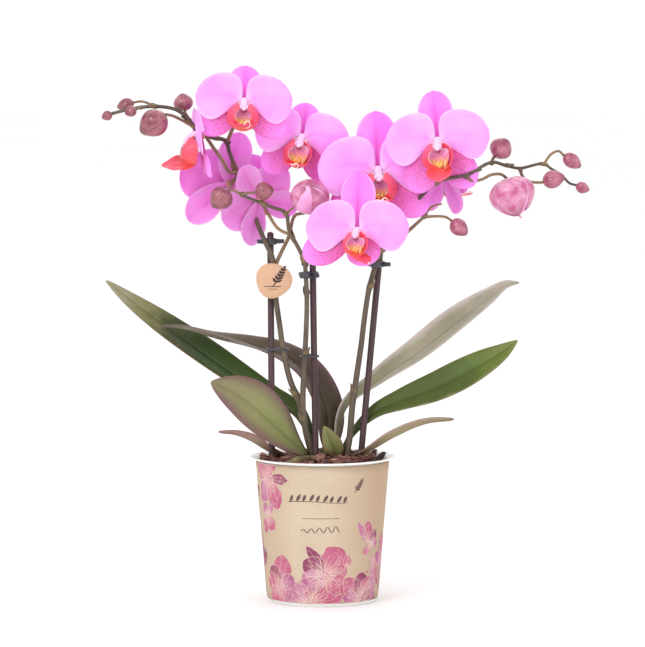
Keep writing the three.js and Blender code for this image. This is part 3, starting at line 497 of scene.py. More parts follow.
def leaf_material(name, stops, edge, coat, margin):
    """Leaf tissue: `stops` are colours along the leaf, from its base to its tip."""
    s = Shader(name, Specular_IOR_Level=0.26, Subsurface_Weight=0.06, Subsurface_Scale=0.002,
               Coat_Weight=coat, Coat_Roughness=0.35)
    along, across = s.uv()
    patches = s.noise(70, 4, 0.6)
    ground = s.ramp(along + (patches - 0.5) * 0.22, *stops)
    dark = s.mix(0.28, ground, (40, 36, 24))
    light = s.mix(0.3, ground, (222, 212, 190))
    mottled = s.mix(s.ramp(patches, (0.3, 0.5), (0.7, 0.0)), ground, dark)
    vein = s.lines(across + s.noise(1.5, 2, uv=(5, 2, 1)) * 0.03, 95.0, 4.0)
    veined = s.mix(vein * s.noise(1.0, 2, uv=(9, 16, 1)) * 0.7, mottled, light)
    off = abs(across - 0.5) * 2.0
    ribbed = s.mix(s.ramp(off, (0.0, 0.75), (0.09, 0.0)), veined, dark)
    uneven = off + (patches - 0.5) * 0.4
    s.colour(s.mix(s.ramp(uneven, (margin, 0.0), (1.02, 0.9)), ribbed, edge))
    s.gloss(160, (0.3, 0.32), (0.75, 0.52), detail=3)
    s.bump(vein * 0.5 + s.noise(1.0, 3, uv=(30, 60, 1)), 0.3, 0.0005)
    return s.material


def stem_material(name, low, high, flush):
    """A stem: greener or browner in patches, with fine streaks along it and small pores."""
    s = Shader(name, Specular_IOR_Level=0.4, Subsurface_Weight=0.05, Subsurface_Scale=0.002)
    ground = s.ramp(s.noise(45, 4, 0.6, stretch=(1, 1, 0.5)), (0.35, low), (0.65, high))
    streak = s.noise(900, 3, stretch=(1, 1, 0.08))
    streaked = s.mix(s.ramp(streak, (0.45, 0.0), (0.8, 0.6)), ground, flush)
    pores = s.ramp(s.cells(420), (0.06, 0.8), (0.16, 0.0))
    s.colour(s.mix(pores, streaked, low))
    s.gloss(300, (0.3, 0.38), (0.75, 0.6))
    s.bump(streak + pores, 0.25)
    return s.material


def stake_material(name):
    """Stained wood or cane with its grain along the stake."""
    s = Shader(name, Specular_IOR_Level=0.4)
    grain = s.noise(1400, 4, stretch=(1, 1, 0.03))
    ground = s.ramp(s.noise(60, 3, stretch=(1, 1, 0.3)), (0.3, (62, 42, 44)), (0.7, (88, 64, 66)))
    s.colour(s.mix(s.ramp(grain, (0.5, 0.0), (0.75, 0.6)), ground, (46, 32, 34)))
    s.roughness(s.ramp(grain, (0.3, 0.42), (0.7, 0.62)))
    s.bump(grain, 0.25)
    return s.material


def paper_material(name, stops, tan=None):
    """Uncoated card: long fibres, small flecks and a faint tooth; the optional last colour is painted shade
    that darkens its sides away from the front.
    """
    s = Shader(name, Specular_IOR_Level=0.25)
    fibres = s.noise(260, 4, 0.65, stretch=(1, 1, 6))
    ground = s.ramp(fibres * 0.6 + s.noise(30, 3) * 0.4, *stops)
    if tan:
        # painted shade: away from the front, the card darkens towards the last colour, as if turned from the
        # light
        x = s.node("ShaderNodeSeparateXYZ", {0: s.place((1, 1, 1))})
        ground = s.mix(s.ramp(abs(x + 0.008) * 20.0, (0.25, 0.0), (1.0, 0.85)), ground, tan)
    flecks = s.ramp(s.cells(700, (1, 1, 2.5)), (0.04, 0.5), (0.1, 0.0))
    s.colour(s.mix(flecks, ground, stops[0][1]))
    s.roughness(s.ramp(fibres, (0.3, 0.62), (0.7, 0.8)))
    s.bump(fibres, 0.2, 0.0003)
    return s.material


def ink_material(name, colour):
    """Drawn ink, a little paler where the paper's tooth stands up."""
    s = Shader(name, Specular_IOR_Level=0.3)
    tooth = s.noise(900, 3)
    paler = (*[min(1, c * 1.5 + 0.02) for c in rgb(*colour)[:3]], 1)
    s.colour(s.ramp(tooth, (0.25, colour), (0.9, paler)))
    s.roughness(s.ramp(tooth, (0.3, 0.5), (0.7, 0.7)))
    s.bump(tooth, 0.1, 0.0002)
    return s.material


def print_material(name, pale, mid, deep):
    """Watercolour ink: colour pools and dries at the edges, with paper showing through."""
    s = Shader(name, Specular_IOR_Level=0.25)
    along, across = s.uv()
    pools = s.noise(95, 4, 0.6, 0.6)
    wash = s.ramp(pools * 0.75 + along * 0.35, (0.36, pale), (0.6, mid), (0.9, deep))
    dried = s.ramp(abs(across - 0.5) * 2.0, (0.8, 0.0), (1.0, 0.45))
    thin = s.ramp(s.noise(210, 3, 0.6, 0.4), (0.5, 0.0), (0.72, 0.5))
    washed = s.mix(thin, s.mix(dried, wash, deep), (208, 182, 160))
    fibres = s.noise(260, 4, 0.65, stretch=(1, 1, 6))
    s.colour(s.mix(s.ramp(fibres, (0.55, 0.0), (0.85, 0.45)), washed, (212, 186, 166)))
    s.roughness(s.ramp(fibres, (0.3, 0.6), (0.7, 0.78)))
    s.bump(fibres, 0.15, 0.0003)
    return s.material


def bark_material(name, dark, mid, light):
    """Bark: coarse grain and flakes."""
    s = Shader(name, Specular_IOR_Level=0.3)
    grain = s.noise(170, 5, 0.65, stretch=(1, 1, 3.5))
    flakes = s.cells(230, (1, 1, 2))
    s.colour(s.ramp(grain * 0.8 + flakes * 0.3, (0.35, dark), (0.6, mid), (0.85, light)))
    s.roughness(s.ramp(grain, (0.3, 0.62), (0.7, 0.85)))
    s.bump(grain + flakes, 0.6, 0.0010)
    return s.material


PINK, PALE, DEEP = rgb(250, 152, 250), rgb(253, 182, 252), rgb(214, 52, 176)

# Colours, each set in the order that its material function takes them.
LIP_COLOURS = {
    "coral": ((238, 104, 88), (238, 92, 122), (204, 38, 82), (238, 78, 100)),
    # the inner colours are partly their own pale tone and partly painted light, lifted towards white inside
    # the cup
    "inner": ((255, 214, 150), (255, 240, 250), (196, 84, 140), (252, 222, 236)),
    "rose": ((240, 124, 100), (234, 76, 112), (200, 36, 100), (232, 84, 132)),
    "crimson": ((242, 112, 84), (234, 66, 100), (200, 26, 76), (240, 78, 98)),
}
BUD_COLOURS = {
    "rose": ((146, 56, 84), (198, 122, 144), (98, 24, 48), (140, 112, 70)),
    "mauve": ((126, 52, 70), (178, 108, 118), (78, 22, 38), (130, 116, 66)),
    "outer": ((196, 88, 136), (236, 168, 202), (140, 36, 80), (200, 140, 120)),
}
STEM_COLOURS = {
    "stem_main": ((74, 60, 56), (104, 92, 74), (122, 106, 80)),
    "stem_twig": ((112, 84, 72), (146, 124, 84), (160, 112, 104)),
    "bract": ((92, 74, 58), (138, 118, 84), (110, 70, 62)),
    "crown": ((92, 84, 46), (142, 140, 78), (130, 96, 84)),
}
PRINT_COLOURS = {
    "wash": ((206, 152, 160), (190, 100, 132), (164, 62, 96)),
    "violet": ((208, 164, 176), (186, 112, 150), (150, 68, 112)),
    "plum": ((180, 110, 138), (150, 74, 106), (120, 50, 80)),
}
BARK_COLOURS = {
    "bark": ((40, 26, 24), (98, 58, 50), (158, 112, 98)),
    "bark_pale": ((78, 50, 44), (146, 104, 92), (204, 172, 156)),
    "bark_dark": ((30, 20, 20), (62, 42, 40), (104, 80, 74)),
}

MATERIALS = {}


def shared(maker, name, *values, **more):
    """The material of that name, made on its first use."""
    if name not in MATERIALS:
        MATERIALS[name] = maker(name, *values, **more)
    return MATERIALS[name]


# ---------------------------------------------------------------- curves and meshes


def unit(v):
    return v / max(np.linalg.norm(v), 1e-12)


def xyz(x, y, z):
    """Points from their coordinates, which may be numbers or arrays."""
    return np.stack(np.broadcast_arrays(x, y, z), axis=-1).astype(float)


def steps(way, amounts):
    """The vector `way` times each of the amounts."""
    return np.asarray(amounts)[..., None] * way


def ring(sides):
    return np.linspace(0, 2 * np.pi, sides, endpoint=False)


def shares(rows, columns):
    """Where a sheet's points are: 0 to 1 along it, as a column, and -1 to 1 across it, as a row."""
    return np.linspace(0, 1, rows)[:, None], 2 * np.arange(columns)[None, :] / (columns - 1) - 1


def seed_of(name):
    return sum(map(ord, name))


def outline(t, widest, fullness):
    """Half width, at most 1, of a blade that is widest at the share `widest` of its length."""
    bias = math.log(0.5) / math.log(widest)
    return np.sin(np.pi * np.clip(t, 0, 1) ** bias) ** fullness


def closed(t, bias, fullness):
    """Radius, at most 1, of a body that closes at t = 0 and t = 1."""
    inside = (t > 0) & (t < 1)
    return np.where(inside, np.sin(np.pi * np.where(inside, t, 0.5) ** bias) ** fullness, 0.0)


def catmull(points, samples):
    """Points at even distances along a centripetal Catmull-Rom curve."""
    pts = [np.array(p, float) for p in points]
    ends = [pts[0] * 2 - pts[1], *pts, pts[-1] * 2 - pts[-2]]
    dense = []
    for a, b, c, d in zip(ends, ends[1:], ends[2:], ends[3:]):
        t0 = 0.0
        t1, t2, t3 = np.cumsum([max(np.linalg.norm(q - p) ** 0.5, 1e-4) for p, q in ((a, b), (b, c), (c, d))])
        blend = lambda p, q, low, high, t: ((high - t) * p + (t - low) * q) / (high - low)
        for t in np.linspace(t1, t2, 24, endpoint=False):
            ab, bc, cd = blend(a, b, t0, t1, t), blend(b, c, t1, t2, t), blend(c, d, t2, t3, t)
            dense.append(blend(blend(ab, bc, t0, t2, t), blend(bc, cd, t1, t3, t), t1, t2, t))
    dense.append(pts[-1])
    dense = np.array(dense)
    at = np.concatenate([[0], np.cumsum(np.linalg.norm(np.diff(dense, axis=0), axis=1))])
    even = np.linspace(0, at[-1], samples)
    return np.stack([np.interp(even, at, column) for column in dense.T], axis=1)


def smooth_line(points, samples):
    """A smooth planar line through points, at even distances."""
    return catmull([(*p, 0) for p in points], samples)[:, :2]


def tangents(line):
    return np.array([unit(v) for v in np.gradient(line, axis=0)])


class Part:
    """Collects surfaces in millimetres, then becomes one Blender object."""

    def __init__(self):
        self.verts, self.faces, self.uvs, self.slots, self.materials = [], [], [], [], []

    def add(self, verts, faces, uvs, made):
        """`uvs` holds one (u, v) for each corner of each face."""
        base = len(self.verts)
        self.verts.extend(np.asarray(verts, float).tolist())
        if made not in self.materials:
            self.materials.append(made)
        for face, corners in zip(faces, uvs):
            self.faces.append([base + i for i in face])
            self.uvs.extend(corners)
            self.slots.append(self.materials.index(made))

    def sheet(self, grid, made, close=False, flip=False, uv=None):
        """A grid of points as quads; uv(i, j) is 0 to 1 down the rows and the columns unless it is given."""
        rows, columns = grid.shape[:2]
        spans = columns if close else columns - 1
        uv = uv or (lambda i, j: (i / (rows - 1), j / spans))
        faces, uvs = [], []
        for i in range(rows - 1):
            for j in range(spans):
                quad = [(i, j), (i, j + 1), (i + 1, j + 1), (i + 1, j)][::-1 if flip else 1]
                faces.append([a * columns + b % columns for a, b in quad])
                uvs.append([uv(*corner) for corner in quad])
        self.add(grid.reshape(-1, 3), faces, uvs, made)

    def object(self, name, slot, *nodes, matrix=None):
        mesh = bpy.data.meshes.new(name)
        mesh.from_pydata((np.array(self.verts) * MM).tolist(), [], self.faces)
        mesh.uv_layers.new(name="UVMap").data.foreach_set("uv", np.array(self.uvs, np.float32).ravel())
        for made in self.materials:
            mesh.materials.append(made)
        mesh.polygons.foreach_set("material_index", self.slots)
        mesh.polygons.foreach_set("use_smooth", [True] * len(mesh.polygons))
        mesh.update()
        made = bpy.data.objects.new(name, mesh)
        bpy.context.collection.objects.link(made)
        if matrix is not None:
            made.matrix_world = matrix
        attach(made, "root")
        if nodes:
            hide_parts(*nodes)
        return made


def shell(part, grid, thickness, top, under, edge=0.35):
    """A thin closed leaf: `grid` is its middle surface, and it thins to the share `edge` at its rim."""
    rows, columns = grid.shape[:2]
    normal = np.cross(np.gradient(grid, axis=0), np.gradient(grid, axis=1))
    size = np.linalg.norm(normal, axis=2, keepdims=True)
    normal = np.where(size > 1e-6, normal / np.maximum(size, 1e-12), 0)
    for i, j in np.argwhere(size[..., 0] <= 1e-6):  # ends that close to a point take the normal beside them
        beside = normal[min(max(i, 1), rows - 2), min(max(j, 1), columns - 2)]
        normal[i, j] = unit(beside + 1e-9)
    t, w = shares(rows, columns)
    taper = edge + (1 - edge) * np.sqrt(1 - np.abs(w) ** 4)
    taper = taper * (edge + (1 - edge) * np.sqrt(1 - np.abs(2 * t - 1) ** 10))
    half = steps(1, thickness / 2 * taper) * normal
    upper, lower = grid + half, grid - half
    part.sheet(upper, top, flip=True)
    part.sheet(lower, under)
    border = [(0, j) for j in range(columns)] + [(i, columns - 1) for i in range(1, rows)]
    border += [(rows - 1, j) for j in range(columns - 2, -1, -1)] + [(i, 0) for i in range(rows - 2, 0, -1)]
    rim = np.array([[side[i, j] for i, j in border] for side in (upper, lower)])
    corners = [(i / (rows - 1), j / (columns - 1)) for i, j in border]
    part.sheet(rim, top, close=True, uv=lambda i, j: corners[j % len(border)])


def sweep(part, line, radii, sides, made, squash=1.0):
    """A round stem along a line of points, with a rounded cap at each end."""
    line = np.asarray(line, float)
    radii = np.broadcast_to(np.asarray(radii, float), len(line))
    way = tangents(line)
    caps = ((0.0, 0.0), (0.18, 0.62), (0.5, 0.87))  # how far along its cap and how wide each ring is
    start = [line[0] - way[0] * radii[0] * (0.45 - back) for back, _ in caps]
    end = [line[-1] + way[-1] * radii[-1] * (0.45 - back) for back, _ in caps[::-1]]
    ends = [[max(r * share, 1e-3) for _, share in caps] for r in (radii[0], radii[-1])]
    line, radii = np.vstack([start, line, end]), np.concatenate([ends[0], radii, ends[1][::-1]])
    way = tangents(line)
    normal = unit(np.cross(way[0], UP if abs(way[0][2]) < 0.9 else (1, 0, 0)))
    turn, rings = ring(sides), []
    for point, t, r in zip(line, way, radii):
        normal = unit(normal - t * np.dot(normal, t))
        side = squash * np.cross(t, normal)
        rings.append(point + r * (steps(normal, np.cos(turn)) + steps(side, np.sin(turn))))
    length = np.concatenate([[0], np.cumsum(np.linalg.norm(np.diff(line, axis=0), axis=1))])
    part.sheet(np.array(rings), made, close=True, uv=lambda i, j: (length[i] / 10.0, j / sides))


def blob(part, centre, radii, made, turn=np.eye(3), rings=12, sides=18, shape=None):
    """A rounded body; shape(directions) scales its radius."""
    lat, lon = np.linspace(0, np.pi, rings + 1)[:, None], ring(sides)
    way = xyz(np.sin(lat) * np.cos(lon), np.sin(lat) * np.sin(lon), -np.cos(lat))
    points = way * np.array(radii) * (shape(way)[..., None] if shape else 1.0)
    part.sheet(points @ np.array(turn).T + np.array(centre), made, close=True)


def lathe(part, profile, segments, made):
    """A body turned round the Z axis from (radius, height) pairs."""
    radius, height = (column[:, None] for column in np.array(profile, float).T)
    turn = ring(segments)
    part.sheet(xyz(radius * np.cos(turn), radius * np.sin(turn), height), made, close=True, flip=True,
               uv=lambda i, j: (j / segments, profile[i][1] / 100.0))


def turn_of(spec):
    """The turn that makes a flower modelled facing +Z look the way its spec says."""
    return (Matrix.Rotation(math.radians(spec["yaw"]), 4, "Z")
            @ Matrix.Rotation(math.pi / 2 - math.radians(spec["pitch"]), 4, "X")
            @ Matrix.Rotation(math.radians(spec["roll"]), 4, "Z"))


def flower_place(spec):
    return Matrix.Translation(Vector(spec["at"]) * MM) @ turn_of(spec)


def stalk_end(name):
    """Where the stalk of that flower or bud ends."""
    spec = next(s for s in FLOWERS + BUDS if s["name"] == name)
    if "stalk" in spec:
        return spec["stalk"]
    return tuple(Vector(spec["at"]) + turn_of(spec).to_3x3() @ Vector((0, 0, -5.0 * spec["size"])))


# ---------------------------------------------------------------- flowers

# Edges of a tepal of size 1, from its base to its tip; x runs out along it, y to its left.
PETAL_UPPER = [(1.4, -1.4), (2.0, 2.6), (2.7, 8.0), (3.8, 13.0), (6.2, 17.6), (9.8, 20.2), (16.8, 21.0),
               (24.5, 18.8), (31.5, 14.0), (36.0, 7.0), (37.8, 0.5)]
PETAL_LOWER = [(1.4, -1.4), (5.5, -4.0), (10.0, -7.0), (14.0, -11.2), (18.8, -15.6), (24.0, -17.4),
               (29.0, -15.8), (33.4, -11.6), (36.6, -6.0), (37.8, 0.5)]
SEPAL_EDGE = [(0.5, 2.6), (5.5, 6.0), (12.0, 9.6), (19.0, 12.0), (26.0, 12.2), (32.5, 9.6), (37.0, 5.2),
              (38.6, 0.0)]
DORSAL_EDGE = [(0.5, 3.2), (4.5, 6.4), (11.0, 10.0), (18.0, 12.3), (25.5, 12.4), (32.0, 9.8), (36.4, 5.2),
               (38.0, 0.0)]


def mirrored(edge):
    return [(x, -y) for x, y in edge]


def tepal(part, lower, upper, angle, size, made, under, rise, seed, reach=1.0, crease=0.9, flip=False,
          rows=30, columns=25):
    """One tepal. `rise` is (height at the base, bend towards the tip, arch across)."""
    low, high = smooth_line(lower, rows), smooth_line(upper, rows)
    back, bend, arch = rise
    waves = np.random.default_rng(seed).uniform(0, 2 * math.pi, 6)
    t, w = shares(rows, columns)
    x, y = ((low[:, [k]] * (1 - w) + high[:, [k]] * (1 + w)) / 2 * size for k in (0, 1))
    x, y = x * reach, -y if flip else y
    z = back + bend * t * t + arch * (1 - w * w) * np.sin(np.pi * np.minimum(t * 1.05, 1))
    z = z - crease * np.exp(-(w / 0.13) ** 2) * (1 - t) ** 0.6 * np.minimum(1, t * 6)
    # ruffled edges, a slow wave over the whole, and edges and tip that turn back
    edge = 0.7 * np.abs(w) ** 3
    z = z + edge * np.sin(7.5 * t + waves[0] + 2.2 * (w > 0)) * np.minimum(1, 3 * t)
    z = z + 0.45 * edge * np.sin(17 * t + waves[1] + w) + 0.5 * np.sin(2.6 * t + 2.2 * w + waves[2]) * t
    z = z - 1.1 * np.abs(w) ** 6 * t - 0.78 * np.maximum(0, t - 0.82) / 0.18 * (1 - np.abs(w))
    cos, sin = math.cos(math.radians(angle)), math.sin(math.radians(angle))
    faces = (under, made) if flip else (made, under)
    shell(part, xyz(x * cos - y * sin, x * sin + y * cos, z * size), 0.8 * size, *faces)


def flower_mesh(spec):
    """The five tepals of a flower and the joint behind them."""
    part = Part()
    name, size, hue = spec["name"], spec["size"], spec["hue"]
    # a higher `hue` deepens the tepals of the flowers at the back and side as painted shade
    petal = shared(tepal_material, f"petal_{name}", tint(PINK, DEEP, 0.2 * hue), tint(PALE, PINK, hue),
                   tint(PINK, DEEP, 0.55), heart=0.45, white=0.8)
    reverse = shared(tepal_material, f"petal_back_{name}", (244, 138, 230), (250, 176, 240), (212, 62, 172),
                     veins=1.2)
    dorsal = shared(tepal_material, f"dorsal_{name}", (246, 122, 240), (250, 152, 248), (200, 30, 146),
                    heart=0.95)
    sepal = shared(speckled_material, f"sepal_{name}", (216, 98, 164), (166, 26, 92), (250, 146, 240))
    seed = seed_of(name)
    tepal(part, mirrored(DORSAL_EDGE), DORSAL_EDGE, 90, size, dorsal, reverse, (-1.6, -2.0, 1.6), seed,
          reach=spec["dorsal"], crease=1.0)
    for k, ((angle, share), base) in enumerate(zip(spec["sepals"], (-1.6, -1.8))):
        tepal(part, mirrored(SEPAL_EDGE), SEPAL_EDGE, angle, size, sepal, reverse, (base, -3.4, 1.3),
              seed + 1 + k, reach=share * 1.03, crease=0.8, flip=k == 1)
    for k, angle in enumerate((8, 172)):
        tepal(part, PETAL_LOWER, PETAL_UPPER, angle, size, petal, reverse, (0.8, 0.4, 2.6), seed + 3 + k,
              flip=k == 1, rows=36, columns=33)
    joint = shared(plain_material, "ovary", ((0.3, (168, 128, 104)), (0.7, (206, 158, 150))), 160, 0.4, 0.6)
    blob(part, (0, 0, -2.2 * size), (2.9 * size, 2.9 * size, 3.1 * size), joint)
    part.object(f"flower_{name}", "petal", f"flower_{name}_tepals", matrix=flower_place(spec))


def lip_mesh(spec):
    """A flower's lip, the column over it and the swellings where its lobes meet."""
    part = Part()
    name, share = spec["name"], spec["size"] * spec["lip"]
    coral, inner, rose, crimson = (
        shared(lip_material, f"lip_{key}", *colours) for key, colours in LIP_COLOURS.items())
    throat, gold = shared(throat_material, "throat"), shared(callus_material, "callus")
    white = shared(plain_material, "column_white", ((0.3, (244, 186, 230)), (0.66, (255, 230, 248))), 150,
                   0.4, 0.6, 0.1, Subsurface_Weight=0.2, Subsurface_Scale=0.002)
    dark = shared(plain_material, "stigma", ((0.3, (136, 40, 86)), (0.7, (188, 84, 120))), 400, 0.35, 0.55)
    cream = shared(plain_material, "tendril", ((0.35, (250, 222, 214)), (0.7, (255, 248, 238))), 200,
                   0.35, 0.5, 0.08)
    # the floor of the cup, from under the column down to the middle lobe
    t, w = shares(24, 15)
    half = 3.6 + 4.2 * np.sin(np.pi * t ** 0.9)
    shell(part, xyz(w * half, 0.6 - 19.6 * t, 3.4 + 2.6 * t + 2.2 * w * w) * share, share, throat, coral)
    # side lobes: two curved blades that close in to make a cup, or flare open
    t, w = shares(34, 17)
    turn = np.radians(158 * t - 90)
    half = 5.6 * outline(np.clip(t, 0.02, 0.985), 0.55, 0.45)
    for side, narrowing in zip((-1, 1), spec.get("flare", (2.6, 2.6))):
        face = inner if narrowing > 0 else crimson if spec["droop"] > 20 else rose
        radius = 9.6 - w * narrowing - 0.9 * np.maximum(0, w) ** 3 + 0.3 * np.sin(9 * t + 3 * w)
        lobe = xyz(side * radius * np.cos(turn), radius * np.sin(turn) * (1 + 0.06 * w) - 10.3,
                   8.4 + w * half + 0.6 * np.sin(6 * t))
        shell(part, lobe * share, 0.9 * share, *((coral, face) if side > 0 else (face, coral)))
    # middle lobe, with a raised ridge and turned-up edges; `swing` turns it to one side, `twist` rolls it
    hang, swing, twist = (math.radians(spec.get(key, 0)) for key in ("droop", "swing", "twist"))
    out = np.array([math.sin(swing) * math.cos(hang), -math.sin(hang), math.cos(swing) * math.cos(hang)])
    level = np.array([math.cos(swing), 0, -math.sin(swing)])
    rise = np.cross(out, level)
    rise = rise if rise[1] > 0 else -rise
    wide = level * math.cos(twist) + rise * math.sin(twist)
    up = rise * math.cos(twist) - level * math.sin(twist)
    start = np.array([0, -18.2, 6.0])
    t, w = shares(26, 17)
    half = 9.4 * outline(0.03 + 0.95 * t, 0.42, 0.62) * (1 - 0.35 * np.maximum(0, t - 0.7) / 0.3)
    lift = 0.16 * half * w * w + 1.2 * np.exp(-(w / 0.25) ** 2) * (1 - t) + 1.4 * t ** 3
    lift = lift + 0.35 * np.abs(w) ** 3 * np.sin(15 * t)
    lobe = start + steps(out, 24.5 * t - 2.5) + steps(up, lift) + steps(wide, w * half)
    shell(part, lobe * share, 1.1 * share, coral, crimson)
    # two tendrils curl round from its tip
    a = np.linspace(0, 1, 34)
    for side, turns, curl in zip((-1, 1), (3.4, 4.9), spec.get("curl", (0.5, 0.6))):
        if curl:
            radius = 3.6 * curl * (1 - 0.35 * a)
            line = start + out * 21.6 + up * 1.2 - steps(out, 2.2 * a)
            line = line + steps(wide * side, 0.7 + radius * (1 - np.cos(turns * a)) * 0.9)
            line = line + steps(up, radius * np.sin(turns * a) * 1.1)
            sweep(part, line * share, np.linspace(0.5, 0.16, 34) * share, 10, cream)
    # soft teeth that stand round the callus
    teeth = ((-5.0, 4.2), (-3.2, 5.4), (-0.4, 4.4), (2.4, 5.6), (4.4, 4.6), (5.6, 3.2))
    for k, (x, reach) in enumerate(teeth):
        tooth = catmull([(x * 0.8, -18.0, 7.6), (x, -17.4 + reach * 0.5, 9.6),
                         (x * 1.088, -17.4 + reach, 10.6)], 9)
        sweep(part, tooth * share, np.linspace(0.85, 0.28, 9) * share, 8, gold if k % 2 else cream)
    column = catmull([(0, 1.8, 0.6), (0, 0.9, 4.0), (0, -1.2, 7.4), (0, -3.8, 10.0)], 18)
    radii = np.interp(np.linspace(0, 1, 18), [0, 0.25, 0.6, 0.85, 1], [3.0, 2.7, 2.5, 2.5, 2.1])
    sweep(part, column * share, radii * share, 20, white, squash=0.95)
    # the forked callus, then the column's cap, the hollow under it and its two small wings
    for at, radii, made in (
            ((-1.5, -15.6, 9.4), (1.6, 2.0, 2.2), gold), ((1.5, -15.6, 9.4), (1.6, 2.0, 2.2), gold),
            ((0, -16.8, 8.4), (2.4, 1.8, 2.2), gold), ((0, -4.2, 10.4), (1.9, 1.6, 1.4), white),
            ((0, -6.3, 8.4), (1.9, 1.3, 1.6), dark), ((-2.4, -3.0, 8.8), (0.9, 1.8, 1.7), white),
            ((2.4, -3.0, 8.8), (0.9, 1.8, 1.7), white)):
        blob(part, np.array(at) * share, np.array(radii) * share, made)
    part.object(f"lip_{name}", "lip", f"flower_{name}_lip", matrix=flower_place(spec))


# ---------------------------------------------------------------- buds


def bud_frame(spec):
    """A bud's base, its axis, two directions across it and its length."""
    base, tip = np.array(spec["stalk"], float), np.array(spec["tip"], float)
    length = np.linalg.norm(tip - base)
    w = (tip - base) / length
    u = unit(np.cross(w, (0.0, 1.0, 0.0) if abs(w[1]) < 0.9 else (1.0, 0.0, 0.0)))
    return base, w, u, np.cross(w, u), length


def closed_bud(spec):
    """An egg of three sepals that meet in shallow grooves."""
    part = Part()
    name = spec["name"]
    base, w, u, v, length = bud_frame(spec)
    tone = "rose" if name.startswith("right") else "mauve"
    made = shared(bud_material, f"bud_{tone}", *BUD_COLOURS[tone])
    first = seed_of(name) * 0.37
    t, a = np.linspace(0, 1, 41)[:, None], ring(48)
    groove = 0.0
    for k in range(3):
        d = (a - first - k * 2 * math.pi / 3 - 0.35 * t + math.pi) % (2 * math.pi) - math.pi
        groove = groove + np.exp(-(d / 0.085) ** 2)
    swell = 1 - 0.07 * groove * np.sin(np.pi * t) + 0.035 * np.cos(3 * (a - first) + np.pi)
    r = spec["width"] / 2 * closed(t, 0.85, 0.62) * swell
    along = base + steps(w * length, t + 0.012 * (t > 0.9))
    part.sheet(along + steps(u, r * np.cos(a)) + steps(v, 0.94 * r * np.sin(a)), made, close=True)
    part.object(f"bud_{name}", "bud", f"bud_{name}")


# An opening bud's overlapping sepals as (middle direction, half spread, scale, length share).
SEPALS = {
    "right_2": [(math.pi * 1.18, 1.12, 1.0, 1.0), (math.pi * 0.02, 0.62, 0.985, 0.93),
                (math.pi * 0.55, 1.0, 0.97, 1.0)],
    "middle_3": [(math.pi * 1.42, 1.5, 1.0, 1.0), (math.pi * 0.74, 0.66, 0.985, 1.0),
                 (math.pi * 0.05, 0.62, 0.975, 0.96)],
}


def opening_bud(spec):
    """A fat bud whose sepals have begun to part over the paler petals inside."""
    part = Part()
    name = spec["name"]
    base, w, u, v, length = bud_frame(spec)
    outer = shared(bud_material, "bud_outer", *BUD_COLOURS["outer"])
    petal = shared(tepal_material, "bud_petal", (238, 152, 206), (248, 184, 226), (206, 84, 150))

    def surface(t, a, scale):
        r = spec["width"] / 2 * scale * closed(t, 0.85 / 1.1, 0.62)
        along = base + steps(w * length, 0.5 + (t - 0.5) * scale)
        return along + steps(u, r * np.cos(a)) + steps(v, 0.92 * r * np.sin(a))

    rings, sides = 36, 48
    part.sheet(surface(np.linspace(0, 1, rings + 1)[:, None], ring(sides), 0.955), petal, close=True,
               uv=lambda i, j: (i / rings, j / sides * 2 % 1.0 if j < sides else 1.0))
    for middle, spread, scale, share in SEPALS[name]:
        t, q = shares(30, 23)
        t = 0.01 + 0.985 * share * t
        half = spread * (0.84 + 0.16 * np.sin(np.pi * np.minimum(t * 1.15, 1)))
        lift = scale - 0.022 * np.abs(q) ** 4 - 0.010 * np.exp(-(q / 0.08) ** 2)
        shell(part, surface(t, middle + q * half, lift), 0.8, outer, outer)
    end = base + w * length
    hook = catmull([end - w * 1.2, end + w * 1.0 + u * 0.2, end + w * 2.2 + u * 1.6], 8)
    sweep(part, hook, np.linspace(1.1, 0.25, 8), 8, outer)
    part.object(f"bud_{name}", "bud", f"bud_{name}")


# ---------------------------------------------------------------- leaves, spikes and roots


def leaf_mesh(spec):
    """A leathery leaf with a groove along its middle and sides that rise and then level out."""
    part = Part()
    name, rows = spec["name"], 64
    line = catmull(spec["route"], rows)
    way = tangents(line)
    wave = np.random.default_rng(seed_of(name)).uniform(0, 2 * math.pi)
    t, w = shares(rows, 25)
    up = np.array(spec["face"]) * (1 - t) + np.array(spec["tip"]) * t
    up = np.array([unit(v) for v in up - way * (up * way).sum(axis=1, keepdims=True)])
    half = spec["width"] / 2 * outline(np.clip(t, 0.004, 0.997), spec["widest"], 0.75) + 1.6 * (1 - t)
    lift = half * spec["fold"] * 2 * np.abs(w) ** 1.1 - 0.7 * np.exp(-(w / 0.07) ** 2)
    lift = lift + 0.5 * w * w * np.sin(9 * t + wave + 1.5 * (w > 0)) - 0.9 * np.abs(w) ** 5
    grid = line[:, None] + (w * half)[..., None] * np.cross(way, up)[:, None] + lift[..., None] * up[:, None]
    upper = shared(leaf_material, f"leaf_{name}_upper", spec["upper"], spec["edge"], 0.1, spec["margin"])
    under = shared(leaf_material, f"leaf_{name}_under", spec["under"], spec["rim"], 0.05, 0.55)
    shell(part, grid, 1.7, under, upper, edge=0.3)
    part.object(f"leaf_{name}", "leaf", f"leaf_{name}")


def scale_leaf(part, at, way, radius, made, number, reach):
    """A small triangular sheath that clasps a stem at a node."""
    first = unit(np.cross(way, (0.3, 1.0, 0.2)))
    t, w = shares(9, 9)
    a = number * 2.4 + 0.6 + w * (1.9 * (1 - t) ** 0.8 + 0.05)
    r = radius * 1.02 + 0.35 + 0.9 * t * t
    round_stem = steps(first, r * np.cos(a)) + steps(np.cross(way, first), r * np.sin(a))
    shell(part, at + steps(way, reach * t - 1.2) + round_stem, 0.4, made, made)


